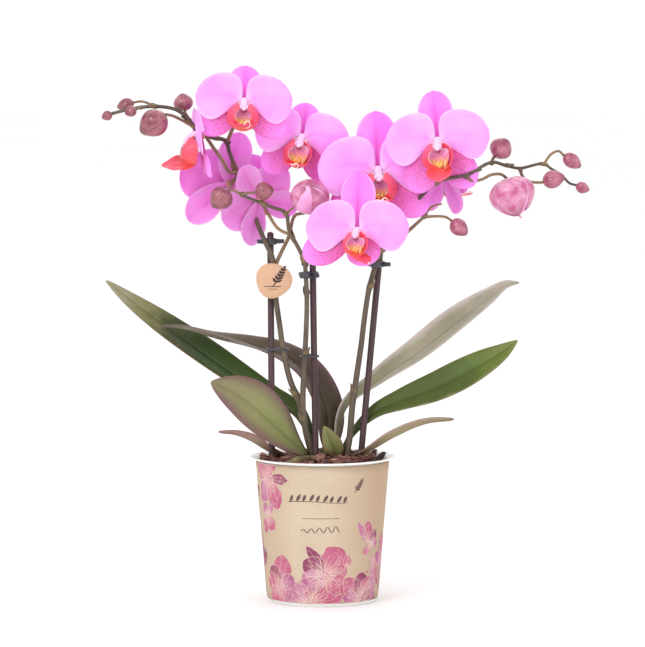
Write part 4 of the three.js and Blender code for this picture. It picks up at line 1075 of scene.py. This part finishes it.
def spike_mesh(name, branches):
    """A flower spike: its axis with swollen nodes first, then its side stalks."""
    part = Part()
    main, twig, bract = (
        shared(stem_material, key, *STEM_COLOURS[key]) for key in ("stem_main", "stem_twig", "bract"))
    for k, branch in enumerate(branches):
        carries = branch["carries"]
        route = [*branch["route"], stalk_end(carries)] if carries else branch["route"]
        count = max(14, len(route) * 9)
        line = catmull(route, count)
        way = tangents(line)
        r0, r1 = branch["r"]
        length = np.linalg.norm(np.diff(line, axis=0), axis=1).sum()
        at, radii = np.linspace(0, length, count), np.linspace(r0, r1, count)
        nodes = [length * share for share in (0.14, 0.36, 0.56, 0.66, 0.75, 0.83, 0.91)] if k == 0 else []
        for node in nodes:
            radii = radii + 0.55 * np.exp(-((at - node) / 2.6) ** 2) * radii / 2.4
        if k:  # a branch flares where it leaves the axis
            radii = radii * (1 + 0.35 * np.exp(-(at / 2.0) ** 2))
        sweep(part, line, radii, 16, main if r0 > 1.8 else twig)
        for number, node in enumerate(nodes):
            i = int(np.clip(np.searchsorted(at, node), 1, count - 2))
            scale_leaf(part, line[i], way[i], radii[i], bract, number, 6.5)
        if k and (carries or r1 < 0.8):
            scale_leaf(part, line[1], way[1], radii[1] * 0.9, bract, k, 3.2)
    part.object(f"spike_{name}", "spike", f"spike_{name}")


def crown_mesh():
    """The short stem the leaves grow from, wrapped in their sheathing bases."""
    part = Part()
    t, a = np.linspace(0, 1, 27)[:, None], ring(36)
    radius = 8.5 * closed(t, 1, 0.6) * (1 + 0.07 * np.sin(3 * a + 4 * t) + 0.04 * np.sin(7 * a - 6 * t))
    grid = xyz(5 - radius * np.cos(a), 1 + 0.8 * radius * np.sin(a), 88 + 31 * t)
    part.sheet(grid, shared(stem_material, "crown", *STEM_COLOURS["crown"]), close=True, flip=True)
    part.object("crown_base", "crown", "crown")


def root_mesh(number, radius, route):
    """A root that creeps over the bark, a little uneven in thickness."""
    part = Part()
    brown, green, grey = (70, 58, 40), (112, 104, 66), (150, 140, 104)
    made = shared(plain_material, "root", ((0.3, brown), (0.55, green), (0.8, grey)), 90, 0.5, 0.75, 0.4, 500)
    at = np.linspace(0, 1, 48)
    radii = radius * (1 + 0.05 * np.sin(23 * at) + 0.04 * np.sin(41 * at + 1))
    sweep(part, catmull(route, len(at)), radii, 18, made)
    part.object(f"air_root_{number}", "root", f"aerial_root_{number}")


# ---------------------------------------------------------------- stakes, clips and tag


def stake_at(name, height):
    """The point of a stake's middle line at a height."""
    foot, top = (np.array(p, float) for p in STAKES[name])
    return foot + (top - foot) * (height - foot[2]) / (top[2] - foot[2])


def stake_mesh(name):
    part = Part()
    foot, top = (np.array(p, float) for p in STAKES[name])
    at = np.linspace(0, 1, 40)
    radii = STAKE_RADIUS * (1 + 0.008 * np.sin(17 * at + len(name)))
    sweep(part, foot + steps(top - foot, at), radii, 24, shared(stake_material, "stake"))
    part.object(f"rod_{name}", "stake", f"stake_{name}")


def clip_mesh(spec):
    """A spring band round a stake and a stem, with two ridged finger tabs on the larger size."""
    part = Part()
    made = shared(plain_material, "clip", ((0.3, (34, 32, 40)), (0.7, (58, 56, 68))), 180, 0.22, 0.42, 0.12,
                  700, Specular_IOR_Level=0.6, Coat_Weight=0.3, Coat_Roughness=0.2)
    rod = stake_at(spec["stake"], spec["height"])
    stem = np.array([*spec["spike"], spec["height"]], float)
    reach, way, middle = np.linalg.norm(rod - stem), unit(stem - rod), (rod + stem) / 2
    side = np.array([-way[1], way[0], 0.0])
    band, depth = (1.1, 1.6) if spec["slim"] else (1.3, 4.6)
    inside = STAKE_RADIUS + 0.5
    # the band's section with rounded corners, swept round a loop of two half circles
    corner = min(band, depth) * 0.3
    section = []
    for x, y, start in ((band - corner, depth / 2 - corner, 0), (corner, depth / 2 - corner, 90),
                        (corner, corner - depth / 2, 180), (band - corner, corner - depth / 2, 270)):
        for a in np.radians(start + 30 * np.arange(4)):
            section.append((x + corner * math.cos(a), y + corner * math.sin(a)))
    r, z = (column[:, None] for column in np.array(section + section[:1]).T)
    r = inside + r
    a = np.concatenate([np.linspace(-np.pi / 2, np.pi / 2, 25), np.linspace(np.pi / 2, 3 * np.pi / 2, 25)])
    centre = np.repeat([reach / 2, -reach / 2], 25)
    loop = middle + steps(way, centre + r * np.cos(a)) + steps(side, r * np.sin(a))
    part.sheet(loop + steps(UP, z), made, close=True)
    for sign in () if spec["slim"] else (-1, 1):
        t, a = np.linspace(0, 1, 17)[:, None], ring(16)
        shut = np.where((t > 0) & (t < 1), 1.0, 0.05)
        half_y = (0.9 + 0.18 * np.sin(9 * np.pi * t) * (t > 0.25)) * shut
        half_z = 1.8 * (0.86 + 0.14 * np.sin(np.pi * np.minimum(1, 0.3 + t))) * shut
        blocky = lambda c: np.copysign(np.abs(c) ** 0.45, c)
        y, z = half_y * blocky(np.cos(a)), half_z * blocky(np.sin(a))
        out = middle + steps(side * sign, inside + band * 0.4 + TAB_LENGTH * t)
        part.sheet(out + steps(way * sign, y) + steps(UP, z), made, close=True)
    part.object(f"band_{spec['name']}", "clip", f"clip_{spec['name']}")


def ribbon(part, put, middle, widths, made, lift=0.0):
    """A thin raised strip of ink along a line on a surface: put(x, y, lift) places its points."""
    middle = np.asarray(middle, float)
    way = np.gradient(middle, axis=0)
    way /= np.maximum(np.linalg.norm(way, axis=1, keepdims=True), 1e-9)
    side = np.stack([-way[:, 1], way[:, 0]], axis=1) * np.broadcast_to(widths, len(middle))[:, None]
    rows = ((middle + side, 0.09), (middle, 0.11), (middle - side, 0.09))
    grid = np.array([put(*points.T, height + lift) for points, height in rows])
    part.sheet(grid, made, flip=True, uv=lambda i, j: (j / len(middle), i / 2))


def sprig(part, put, made, scale):
    """A generic sprig: a curved stalk with pointed leaves on both sides, drawn flat through put(x, y)."""
    stalk = lambda t: np.stack([0.9 * np.sin(2.2 * t), -6 + 13 * t], axis=-1) * scale
    ribbon(part, put, stalk(np.linspace(0, 1, 14)), np.linspace(0.38, 0.16, 14) * scale, made)
    q = np.linspace(0, 1, 9)
    for t in np.linspace(0.22, 0.9, 5):
        for side in (-1, 1):
            lean, length = math.radians(52 - 14 * t), (4.6 - 2.2 * t) * scale
            leaf = stalk(t) + steps(np.array([side * math.sin(lean), math.cos(lean)]) * length, q)
            ribbon(part, put, leaf, 0.9 * scale * np.sin(np.pi * q) ** 0.8 * (1.1 - 0.5 * q) + 0.03, made)
    bud, widths = np.array([(0.73, 7.0), (0.9, 8.6), (1.3, 10.0)]), np.array([0.1, 0.85, 0.05])
    ribbon(part, put, bud * scale, widths * scale, made)


def twig(part, put, made, left, right, height):
    """A lying twig from x = left to right with a row of separate upright leaves along it."""
    stem = lambda t: np.stack([left + (right - left) * t, height - 2.4 + 0.7 * np.sin(5 * t)], axis=-1)
    ribbon(part, put, stem(np.linspace(0, 1, 24)), np.linspace(0.3, 0.16, 24), made)
    q, count = np.linspace(0, 1, 10), 9
    for k in range(count):
        lean, reach = (math.radians(58), 6.6) if k % 2 else (math.radians(66), 5.6)
        leaf = stem((k + 0.4) / count) + steps(np.array([math.cos(lean), math.sin(lean)]) * reach, q)
        ribbon(part, put, leaf, 1.2 * np.sin(np.pi * q) ** 0.8 + 0.03, made)


def tag_mesh():
    """The hanging card, an uneven disc, with a sprig and two wavy lines in ink."""
    part = Part()
    card = shared(paper_material, "tag_card", ((0.3, (202, 160, 130)), (0.7, (216, 178, 148))))
    ink = shared(ink_material, "tag_ink", (58, 40, 38))
    cx, cy, cz = TAG["centre"]
    thick, bevel, turn = TAG["thickness"], 0.12, ring(72)
    lean = 1 + 0.08 * np.cos(turn - math.radians(50)) + 0.05 * np.cos(3 * (turn - math.radians(250)))
    inset = 1.0 - bevel / 13
    loops = ((0.0, 0.0), (0.5, 0.0), (inset, 0.0), (1.0, bevel), (1.0, thick - bevel), (inset, thick),
             (0.5, thick), (0.0, thick))
    scale, depth = (column[:, None] for column in np.array(loops).T)
    part.sheet(xyz(cx - 1 + TAG["width"] / 2 * np.cos(turn) * lean * scale, cy - thick + depth,
                   cz + TAG["height"] / 2 * np.sin(turn) * lean * scale), card, close=True)
    flat = lambda x, y, lift: xyz(cx + x, cy - thick - lift, cz + y)
    leaning = lambda x, y, lift: flat(2.4 + x + 0.45 * y, 2.6 + 0.85 * y - 0.25 * x, lift)
    sprig(part, leaning, ink, 1.15)
    for y, half, width in ((-3.6, 6.2, 0.28), (-5.6, 3.6, 0.16)):
        x = np.linspace(-half - 1, half - 1, 26)
        ribbon(part, flat, np.stack([x, y + 0.25 * np.sin(1.7 * x)], axis=1), width, ink)
    part.object("tag_card", "tag", "tag")


# ---------------------------------------------------------------- pot, sleeve and bark


def wall_radius(z):
    return POT["foot"] + (POT["wall_top_radius"] - POT["foot"]) * z / POT["wall_top"]


def pot_mesh():
    """The growing pot: a thin tapered wall, a flared lip and drain holes cut through its base."""
    part = Part()
    made = shared(plain_material, "pot", ((0.3, (238, 236, 232)), (0.7, (248, 247, 245))), 40, 0.28, 0.42,
                  0.06, 1200, Specular_IOR_Level=0.5, Subsurface_Weight=0.06, Subsurface_Scale=0.002)
    wall, base, foot, lip, rim = (POT[key] for key in ("wall", "base", "foot", "lip", "wall_top_radius"))
    inner = lambda z: wall_radius(z) - wall
    lathe(part, [(0.01, 0.9), (14, 0.9), (30, 0.9), (33, 0.0), (foot - 1.2, 0.0), (foot - 0.3, 0.3),
                 (foot, 1.1), (wall_radius(30), 30), (wall_radius(70), 70), (rim, POT["wall_top"]),
                 (rim + 1.0, POT["wall_top"] + 0.4), (51.6, 106.2), (lip - 0.8, 106.6), (lip - 0.2, 106.9),
                 (lip, 107.3), (lip - 0.3, 107.8), (lip - 1.0, POT["height"]), (51.0, 107.4), (49.0, 106.9),
                 (rim - wall, POT["wall_top"]), (inner(70), 70), (inner(30), 30), (inner(base + 1), base + 1),
                 (inner(base) - 1.0, base), (20, base), (0.01, base)], 128, made)
    pot = part.object("pot_shell", "pot", "pot")
    drill = ((1e-3, -2), (POT["hole_radius"], -2), (POT["hole_radius"], base + 2), (1e-3, base + 2))
    radius, height = (column[:, None] for column in np.array(drill).T)
    for k, turn in enumerate(ring(POT["holes"])):
        x, y = POT["hole_circle"] * math.cos(turn), POT["hole_circle"] * math.sin(turn)
        cut, a = Part(), ring(32)
        cut.sheet(xyz(x + radius * np.cos(a), y + radius * np.sin(a), height), made, close=True, flip=True)
        cutter = cut.object(f"cut_{k}", "pot")
        bpy.context.view_layer.objects.active = pot
        hole = pot.modifiers.new("hole", "BOOLEAN")
        hole.operation, hole.object, hole.solver = "DIFFERENCE", cutter, "EXACT"
        bpy.ops.object.modifier_apply(modifier=hole.name)
        bpy.data.objects.remove(cutter, do_unlink=True)
    for polygon in pot.data.polygons:
        polygon.use_smooth = True


def sleeve_mesh():
    """The printed sleeve: a thin tapered tube of card round the pot."""
    part = Part()
    stops = ((0.25, (188, 168, 144)), (0.5, (202, 183, 159)), (0.8, (214, 198, 176)))
    # the last colour is painted shade that darkens the sleeve's sides
    card = shared(paper_material, "sleeve", stops, (182, 154, 128))
    heights = np.linspace(SLEEVE["bottom"], SLEEVE["top"], 14)
    inner = [(wall_radius(z) + 0.4, z) for z in heights]
    low, high = ((r + 0.1, z) for r, z in (inner[0], inner[-1]))
    lathe(part, [low, *[(r + SLEEVE["card"], z) for r, z in inner], high, *inner[::-1], low], 128, card)
    part.object("sleeve_card", "sleeve", "printed_sleeve")


def on_sleeve(x, y, lift):
    """Points on the sleeve's face: x millimetres to the right of the front's middle, y above the foot."""
    face = wall_radius(y) + SLEEVE["card"] + 0.4
    turn = x / face - math.pi / 2
    return xyz((face + lift) * np.cos(turn), (face + lift) * np.sin(turn), y)


# Printed blossoms: (x, y) of the heart, then petals as (angle, length, width, ink, bend, point).
BLOSSOMS = [
    ((-8, 3), [(150, 24, 18, "violet"), (98, 20, 22, "violet"), (28, 28, 20, "wash"),
               (62, 18, 15, "wash")]),
    ((2, 25), [(150, 19, 15, "plum"), (-96, 26, 28, "wash"), (-150, 20, 18, "violet"), (56, 23, 22, "wash"),
               (8, 17, 12, "wash"), (-42, 20, 17, "wash"), (121, 25, 9.5, "plum", 0.05, 0.95)]),
    ((-35, 14), [(84, 24, 18, "wash"), (128, 18, 15, "plum"), (30, 15, 12, "violet"),
                 (-50, 14, 14, "violet"), (-120, 16, 18, "wash"), (165, 16, 14, "wash")]),
    ((-46, 95), [(82, 16, 12, "wash"), (150, 20, 16, "wash"), (-122, 22, 15, "violet"),
                 (-66, 25, 15, "wash"), (0, 19, 8.5, "plum", -0.05, 0.95)]),
    ((-49, 66), [(48, 13, 6, "violet", 0.12, 0.9), (-50, 13, 10, "wash"), (120, 11, 8, "violet"),
                 (-110, 14, 9, "wash")]),
    ((31, 4), [(128, 22, 15, "wash"), (88, 21, 15, "plum"), (46, 22, 18, "wash"), (8, 18, 16, "plum"),
               (168, 16, 11, "violet")]),
    ((44, 38), [(-92, 34, 8, "violet", 0.03, 0.5), (-70, 26, 7, "wash", 0.0, 0.5)]),
    ((40, 44), [(128, 23, 6, "violet", -0.1, 0.95), (98, 19, 10, "wash"), (58, 14, 8, "plum"),
                (20, 10, 7, "violet"), (-140, 9, 6, "wash")]),
    ((60, 30), [(85, 22, 14, "wash"), (150, 14, 11, "violet"), (-70, 24, 17, "wash")]),
    ((78, 12), [(90, 26, 20, "wash"), (150, 20, 16, "plum"), (20, 24, 18, "wash")]),
    ((-72, 30), [(90, 26, 20, "wash"), (160, 20, 16, "violet"), (20, 20, 14, "plum"),
                 (-90, 26, 20, "wash")]),
    ((-84, 78), [(100, 20, 14, "wash"), (20, 20, 11, "plum"), (-60, 20, 16, "wash"),
                 (170, 18, 14, "violet")]),
    ((110, 28), [(90, 26, 19, "wash"), (160, 22, 16, "violet"), (20, 22, 15, "plum"),
                 (-90, 24, 20, "wash")]),
    ((-112, 16), [(95, 24, 19, "wash"), (160, 20, 16, "wash"), (20, 22, 15, "violet")]),
    ((140, 14), [(95, 22, 18, "wash"), (160, 20, 15, "plum"), (20, 20, 15, "wash")]),
]


def print_petal(part, root, angle, length, width, made, line, level, bend=0.0, point=0.62, veins=None):
    """A printed petal with fine drawn veins and a drawn edge, kept within the sleeve's height."""
    cos, sin = math.cos(math.radians(angle)), math.sin(math.radians(angle))
    phase = 0.7 * length + 0.05 * angle
    veins = veins or (4 if width > 14 else 3)

    def flat(t, w):
        half = width / 2 * outline(0.02 + 0.965 * t, 0.56, point)
        half = half * (1 + 0.07 * np.sin(9 * t + phase) + 0.04 * np.sin(19 * t + 2 * phase))
        x, y = t * length, w * half + bend * t * t * length
        return root[0] + x * cos - y * sin, np.clip(root[1] + x * sin + y * cos, PRINT_LOW, PRINT_HIGH)

    part.sheet(on_sleeve(*flat(*shares(22, 11)), level), made)
    for k in range(veins):
        t = 0.16 + (0.5 + 0.2 * math.sin(3.1 * k + phase)) * np.linspace(0, 1, 14)
        vein = np.stack(flat(t, 0.75 * (2 * (k + 1) / (veins + 1) - 1)), axis=1)
        ribbon(part, on_sleeve, vein, np.linspace(0.15, 0.04, 14), line, level - 0.04)
    t = np.linspace(0.04, 1, 22)
    edge = np.concatenate([np.stack(flat(t, 1), axis=1), np.stack(flat(t[::-1], -1), axis=1)])
    ribbon(part, on_sleeve, edge, 0.11, line, level - 0.04)


def print_mesh():
    """The sleeve's printed blossoms, twig, sprig and rule, as ink a tenth of a millimetre proud."""
    part = Part()
    inks = {key: shared(print_material, f"print_{key}", *PRINT_COLOURS[key]) for key in PRINT_COLOURS}
    line = shared(ink_material, "print_line", (222, 196, 176))
    ink = shared(ink_material, "print_ink", (92, 70, 66))
    level = 0.0
    for (x, y), petals in BLOSSOMS:
        for angle, length, width, key, *shape in petals:
            level += 0.004
            print_petal(part, (x, y), angle, length, width, inks[key], line, level, *shape)
        for k in range(9):  # the blossom's dotted heart
            r = 0.55 * k ** 0.8
            cx, cy = x + r * math.cos(2.4 * k), max(y + r * math.sin(2.4 * k), 4)
            dot = [(cx - 0.35, cy), (cx, cy), (cx + 0.35, cy)]
            ribbon(part, on_sleeve, dot, [0.1, 0.36, 0.1], line, level + 0.02)
    # stalks with a bud between the blossoms
    for points, widths, key in (([(13, 17), (20, 19), (29, 22), (38, 25)], [0.8, 0.9, 0.9, 0.7], "wash"),
                                ([(15.5, 19), (16.0, 24), (18.2, 30)], 0.5, "wash"),
                                ([(18, 18), (21, 14), (22, 10)], [0.5, 0.4, 0.3], "violet")):
        ribbon(part, on_sleeve, points, widths, inks[key], 0.02)
    print_petal(part, (18.2, 29), 80, 10, 6.5, inks["wash"], line, 0.05, point=0.8, veins=2)
    # a lying leafy twig over a rule, a smaller sprig at its end and a wavy tendril below
    twig(part, on_sleeve, ink, -27.0, 19.0, 81.0)
    corner = lambda x, y, lift: on_sleeve(27.5 + 0.8 * x + 0.5 * y, 89.5 - 0.5 * x + 0.8 * y, lift)
    sprig(part, corner, ink, 0.85)
    ribbon(part, on_sleeve, [(x, 66.5) for x in np.linspace(-15.5, 12.5, 16)], 0.18, ink)
    t = np.linspace(0, 1, 90)
    tendril = np.stack([29 * t - 16, 57.0 + (1.2 + 1.4 * t) * np.sin(30 * t) + 1.6 * t], axis=1)
    ribbon(part, on_sleeve, tendril, 0.22 + 0.14 * np.cos(30 * t) ** 2, ink)
    part.object("sleeve_print", "sleeve")


def chip(part, at, size, spin, made, dice):
    """A flake of bark: a flattened blocky body with a broken outline."""
    phases = dice.uniform(0, 2 * math.pi, 6)

    def shape(way):
        x, y, z = np.moveaxis(way, -1, 0)
        turn = np.arctan2(y, x)
        square = (np.abs(way) ** 4).sum(axis=-1) ** -0.25
        broken = 1 + 0.16 * np.sin(3 * turn + phases[0]) + 0.10 * np.sin(5 * turn + phases[1])
        return (broken + 0.08 * np.sin(6 * z + 4 * x + phases[2])) * (0.55 * square + 0.45)

    blob(part, at, size, made, turn=spin, rings=10, sides=16, shape=shape)


def bark_mesh():
    """The bark bed, loose chips lying on it, and chips that stand up against the rim."""
    part = Part()
    made, pale, dark = (shared(bark_material, key, *BARK_COLOURS[key]) for key in BARK_COLOURS)
    inner = lambda z: wall_radius(z) - POT["wall"] - 0.5
    edge = BED_EDGE
    lathe(part, [(0.01, 3.2), (inner(3.2) - 1, 3.2), (inner(4), 4.0), (inner(60), 60),
                 (inner(edge - 2) - 0.6, edge - 3), (40, 102.0), (30, 104.6), (20, 105.8), (10, 106.4),
                 (0.01, 106.6)], 96, made)
    dice = np.random.default_rng(11)
    stakes = [foot for foot, _ in STAKES.values()]
    placed, tries = [], 0
    while len(placed) < CHIPS and tries < CHIP_TRIES:
        tries += 1
        r, a = 46.0 * math.sqrt(dice.uniform(0.0, 1.0)), dice.uniform(0, 2 * math.pi)
        x, y = r * math.cos(a), r * math.sin(a)
        long, wide, high = dice.uniform(7, 15), dice.uniform(4, 8.5), dice.uniform(1.4, 3.6)
        past_rim = math.hypot(x, y) + long * 0.42 > 46.2
        on_stake = any(math.hypot(x - p[0], y - p[1]) < 3.6 + wide * 0.4 for p in stakes)
        crowded = sum(math.hypot(x - q[0], y - q[1]) < 4.6 for q in placed) > 1
        if past_rim or on_stake or crowded:
            continue
        placed.append((x, y))
        ground = np.interp(math.hypot(x, y), [0, 12, 30, 40, 46], [107.6, 107.4, 106.4, 104.4, 102.2])
        spin = Matrix.Rotation(dice.uniform(0, 6.28), 3, "Z")
        spin = spin @ Matrix.Rotation(dice.uniform(-0.5, 0.5), 3, "X")
        spin = spin @ Matrix.Rotation(dice.uniform(-0.45, 0.45), 3, "Y")
        at = (x, y, ground + dice.uniform(-0.6, 1.6))
        chip(part, at, (long / 2, wide / 2, high / 2), spin, pale if dice.uniform() < 0.35 else made, dice)
    for at, size, turn, bark in (
            ((42.5, -8, 107.5), (6.4, 2.6, 1.8), 0.3, dark), ((38, -14, 106.0), (5, 3.4, 2.0), 2.4, dark),
            ((-42, -9, 106.5), (6, 4.2, 2.2), 2.7, pale), ((-36, -20, 105.5), (6, 3.6, 2.0), 2.2, made),
            ((36, 22, 105), (6, 3.4, 2.2), 0.6, made), ((4, -34, 107.0), (7.5, 3.6, 1.8), 0.2, pale),
            ((-2, -20, 109.0), (6.5, 4.0, 1.8), 1.4, pale), ((22, -26, 107.0), (6.5, 4.4, 2.2), 0.9, made)):
        lean = -0.7 if abs(at[0]) > 30 else -0.2
        chip(part, at, size, Matrix.Rotation(turn, 3, "Z") @ Matrix.Rotation(lean, 3, "Y"), bark, dice)
    part.object("bark", "bark", "bark_bed")


# ---------------------------------------------------------------- build

pot_mesh()
sleeve_mesh()
print_mesh()
bark_mesh()
for key in STAKES:
    stake_mesh(key)
crown_mesh()
for key, branches in SPIKES.items():
    spike_mesh(key, branches)
for spec in LEAVES:
    leaf_mesh(spec)
for spec in BUDS:
    (opening_bud if spec["name"] in SEPALS else closed_bud)(spec)
for spec in FLOWERS:
    flower_mesh(spec)
    lip_mesh(spec)
for number, (radius, route) in enumerate(ROOTS, 1):
    root_mesh(number, radius, route)
for spec in CLIPS:
    clip_mesh(spec)
tag_mesh()

# ---------------------------------------------------------------- floor, light and camera

scene = bpy.context.scene
bpy.ops.mesh.primitive_plane_add(size=14, location=(0, 0, 0))
floor = bpy.context.object
floor.name = "floor"
white = Shader("floor_white", Specular_IOR_Level=0.1, Roughness=0.9)
white.colour(white.ramp(white.noise(3, 2), (0.2, 0.93), (0.8, 0.95)))
floor.data.materials.append(white.material)
floor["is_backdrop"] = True

scene.world = bpy.data.worlds.new("studio")
scene.world.use_nodes = True
sky = scene.world.node_tree.nodes["Background"].inputs
sky["Color"].default_value, sky["Strength"].default_value = (1, 1, 1, 1), 1.06


def soft_light(name, at, height, size, watts):
    """A soft box, `size` wide and high, that points at the plant at that height."""
    data = bpy.data.lights.new(name, "AREA")
    data.shape, data.energy = "RECTANGLE", watts
    data.size, data.size_y = size
    lamp = bpy.data.objects.new(name, data)
    scene.collection.objects.link(lamp)
    lamp.location = at
    lamp.rotation_euler = (Vector((0, 0, height)) - Vector(at)).to_track_quat("-Z", "Y").to_euler()


soft_light("key", (-1.2, -2.0, 1.7), 0.25, (1.0, 1.0), 20)
soft_light("fill", (1.8, -1.6, 0.9), 0.25, (1.2, 1.2), 4)
soft_light("back", (0.3, 1.8, 1.6), 0.3, (1.4, 0.8), 6)

VIEW = dict(lens=300, sensor=36, distance=4.0, height=0.2066, elevation=math.radians(5.2))
lens = bpy.data.cameras.new("camera")
lens.lens, lens.sensor_width = VIEW["lens"], VIEW["sensor"]
lens.clip_start, lens.clip_end = 0.1, 60
camera = bpy.data.objects.new("camera", lens)
scene.collection.objects.link(camera)
target = Vector((0, 0, VIEW["height"]))
out = Vector((0, -math.cos(VIEW["elevation"]), math.sin(VIEW["elevation"])))
camera.location = target + VIEW["distance"] * out
camera.rotation_euler = (target - camera.location).to_track_quat("-Z", "Y").to_euler()
scene.camera = camera
scene.view_settings.view_transform = "Standard"
scene.view_settings.look = "None"

{"cad": CAD_BOX, "visual": [list(corner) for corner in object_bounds()]}
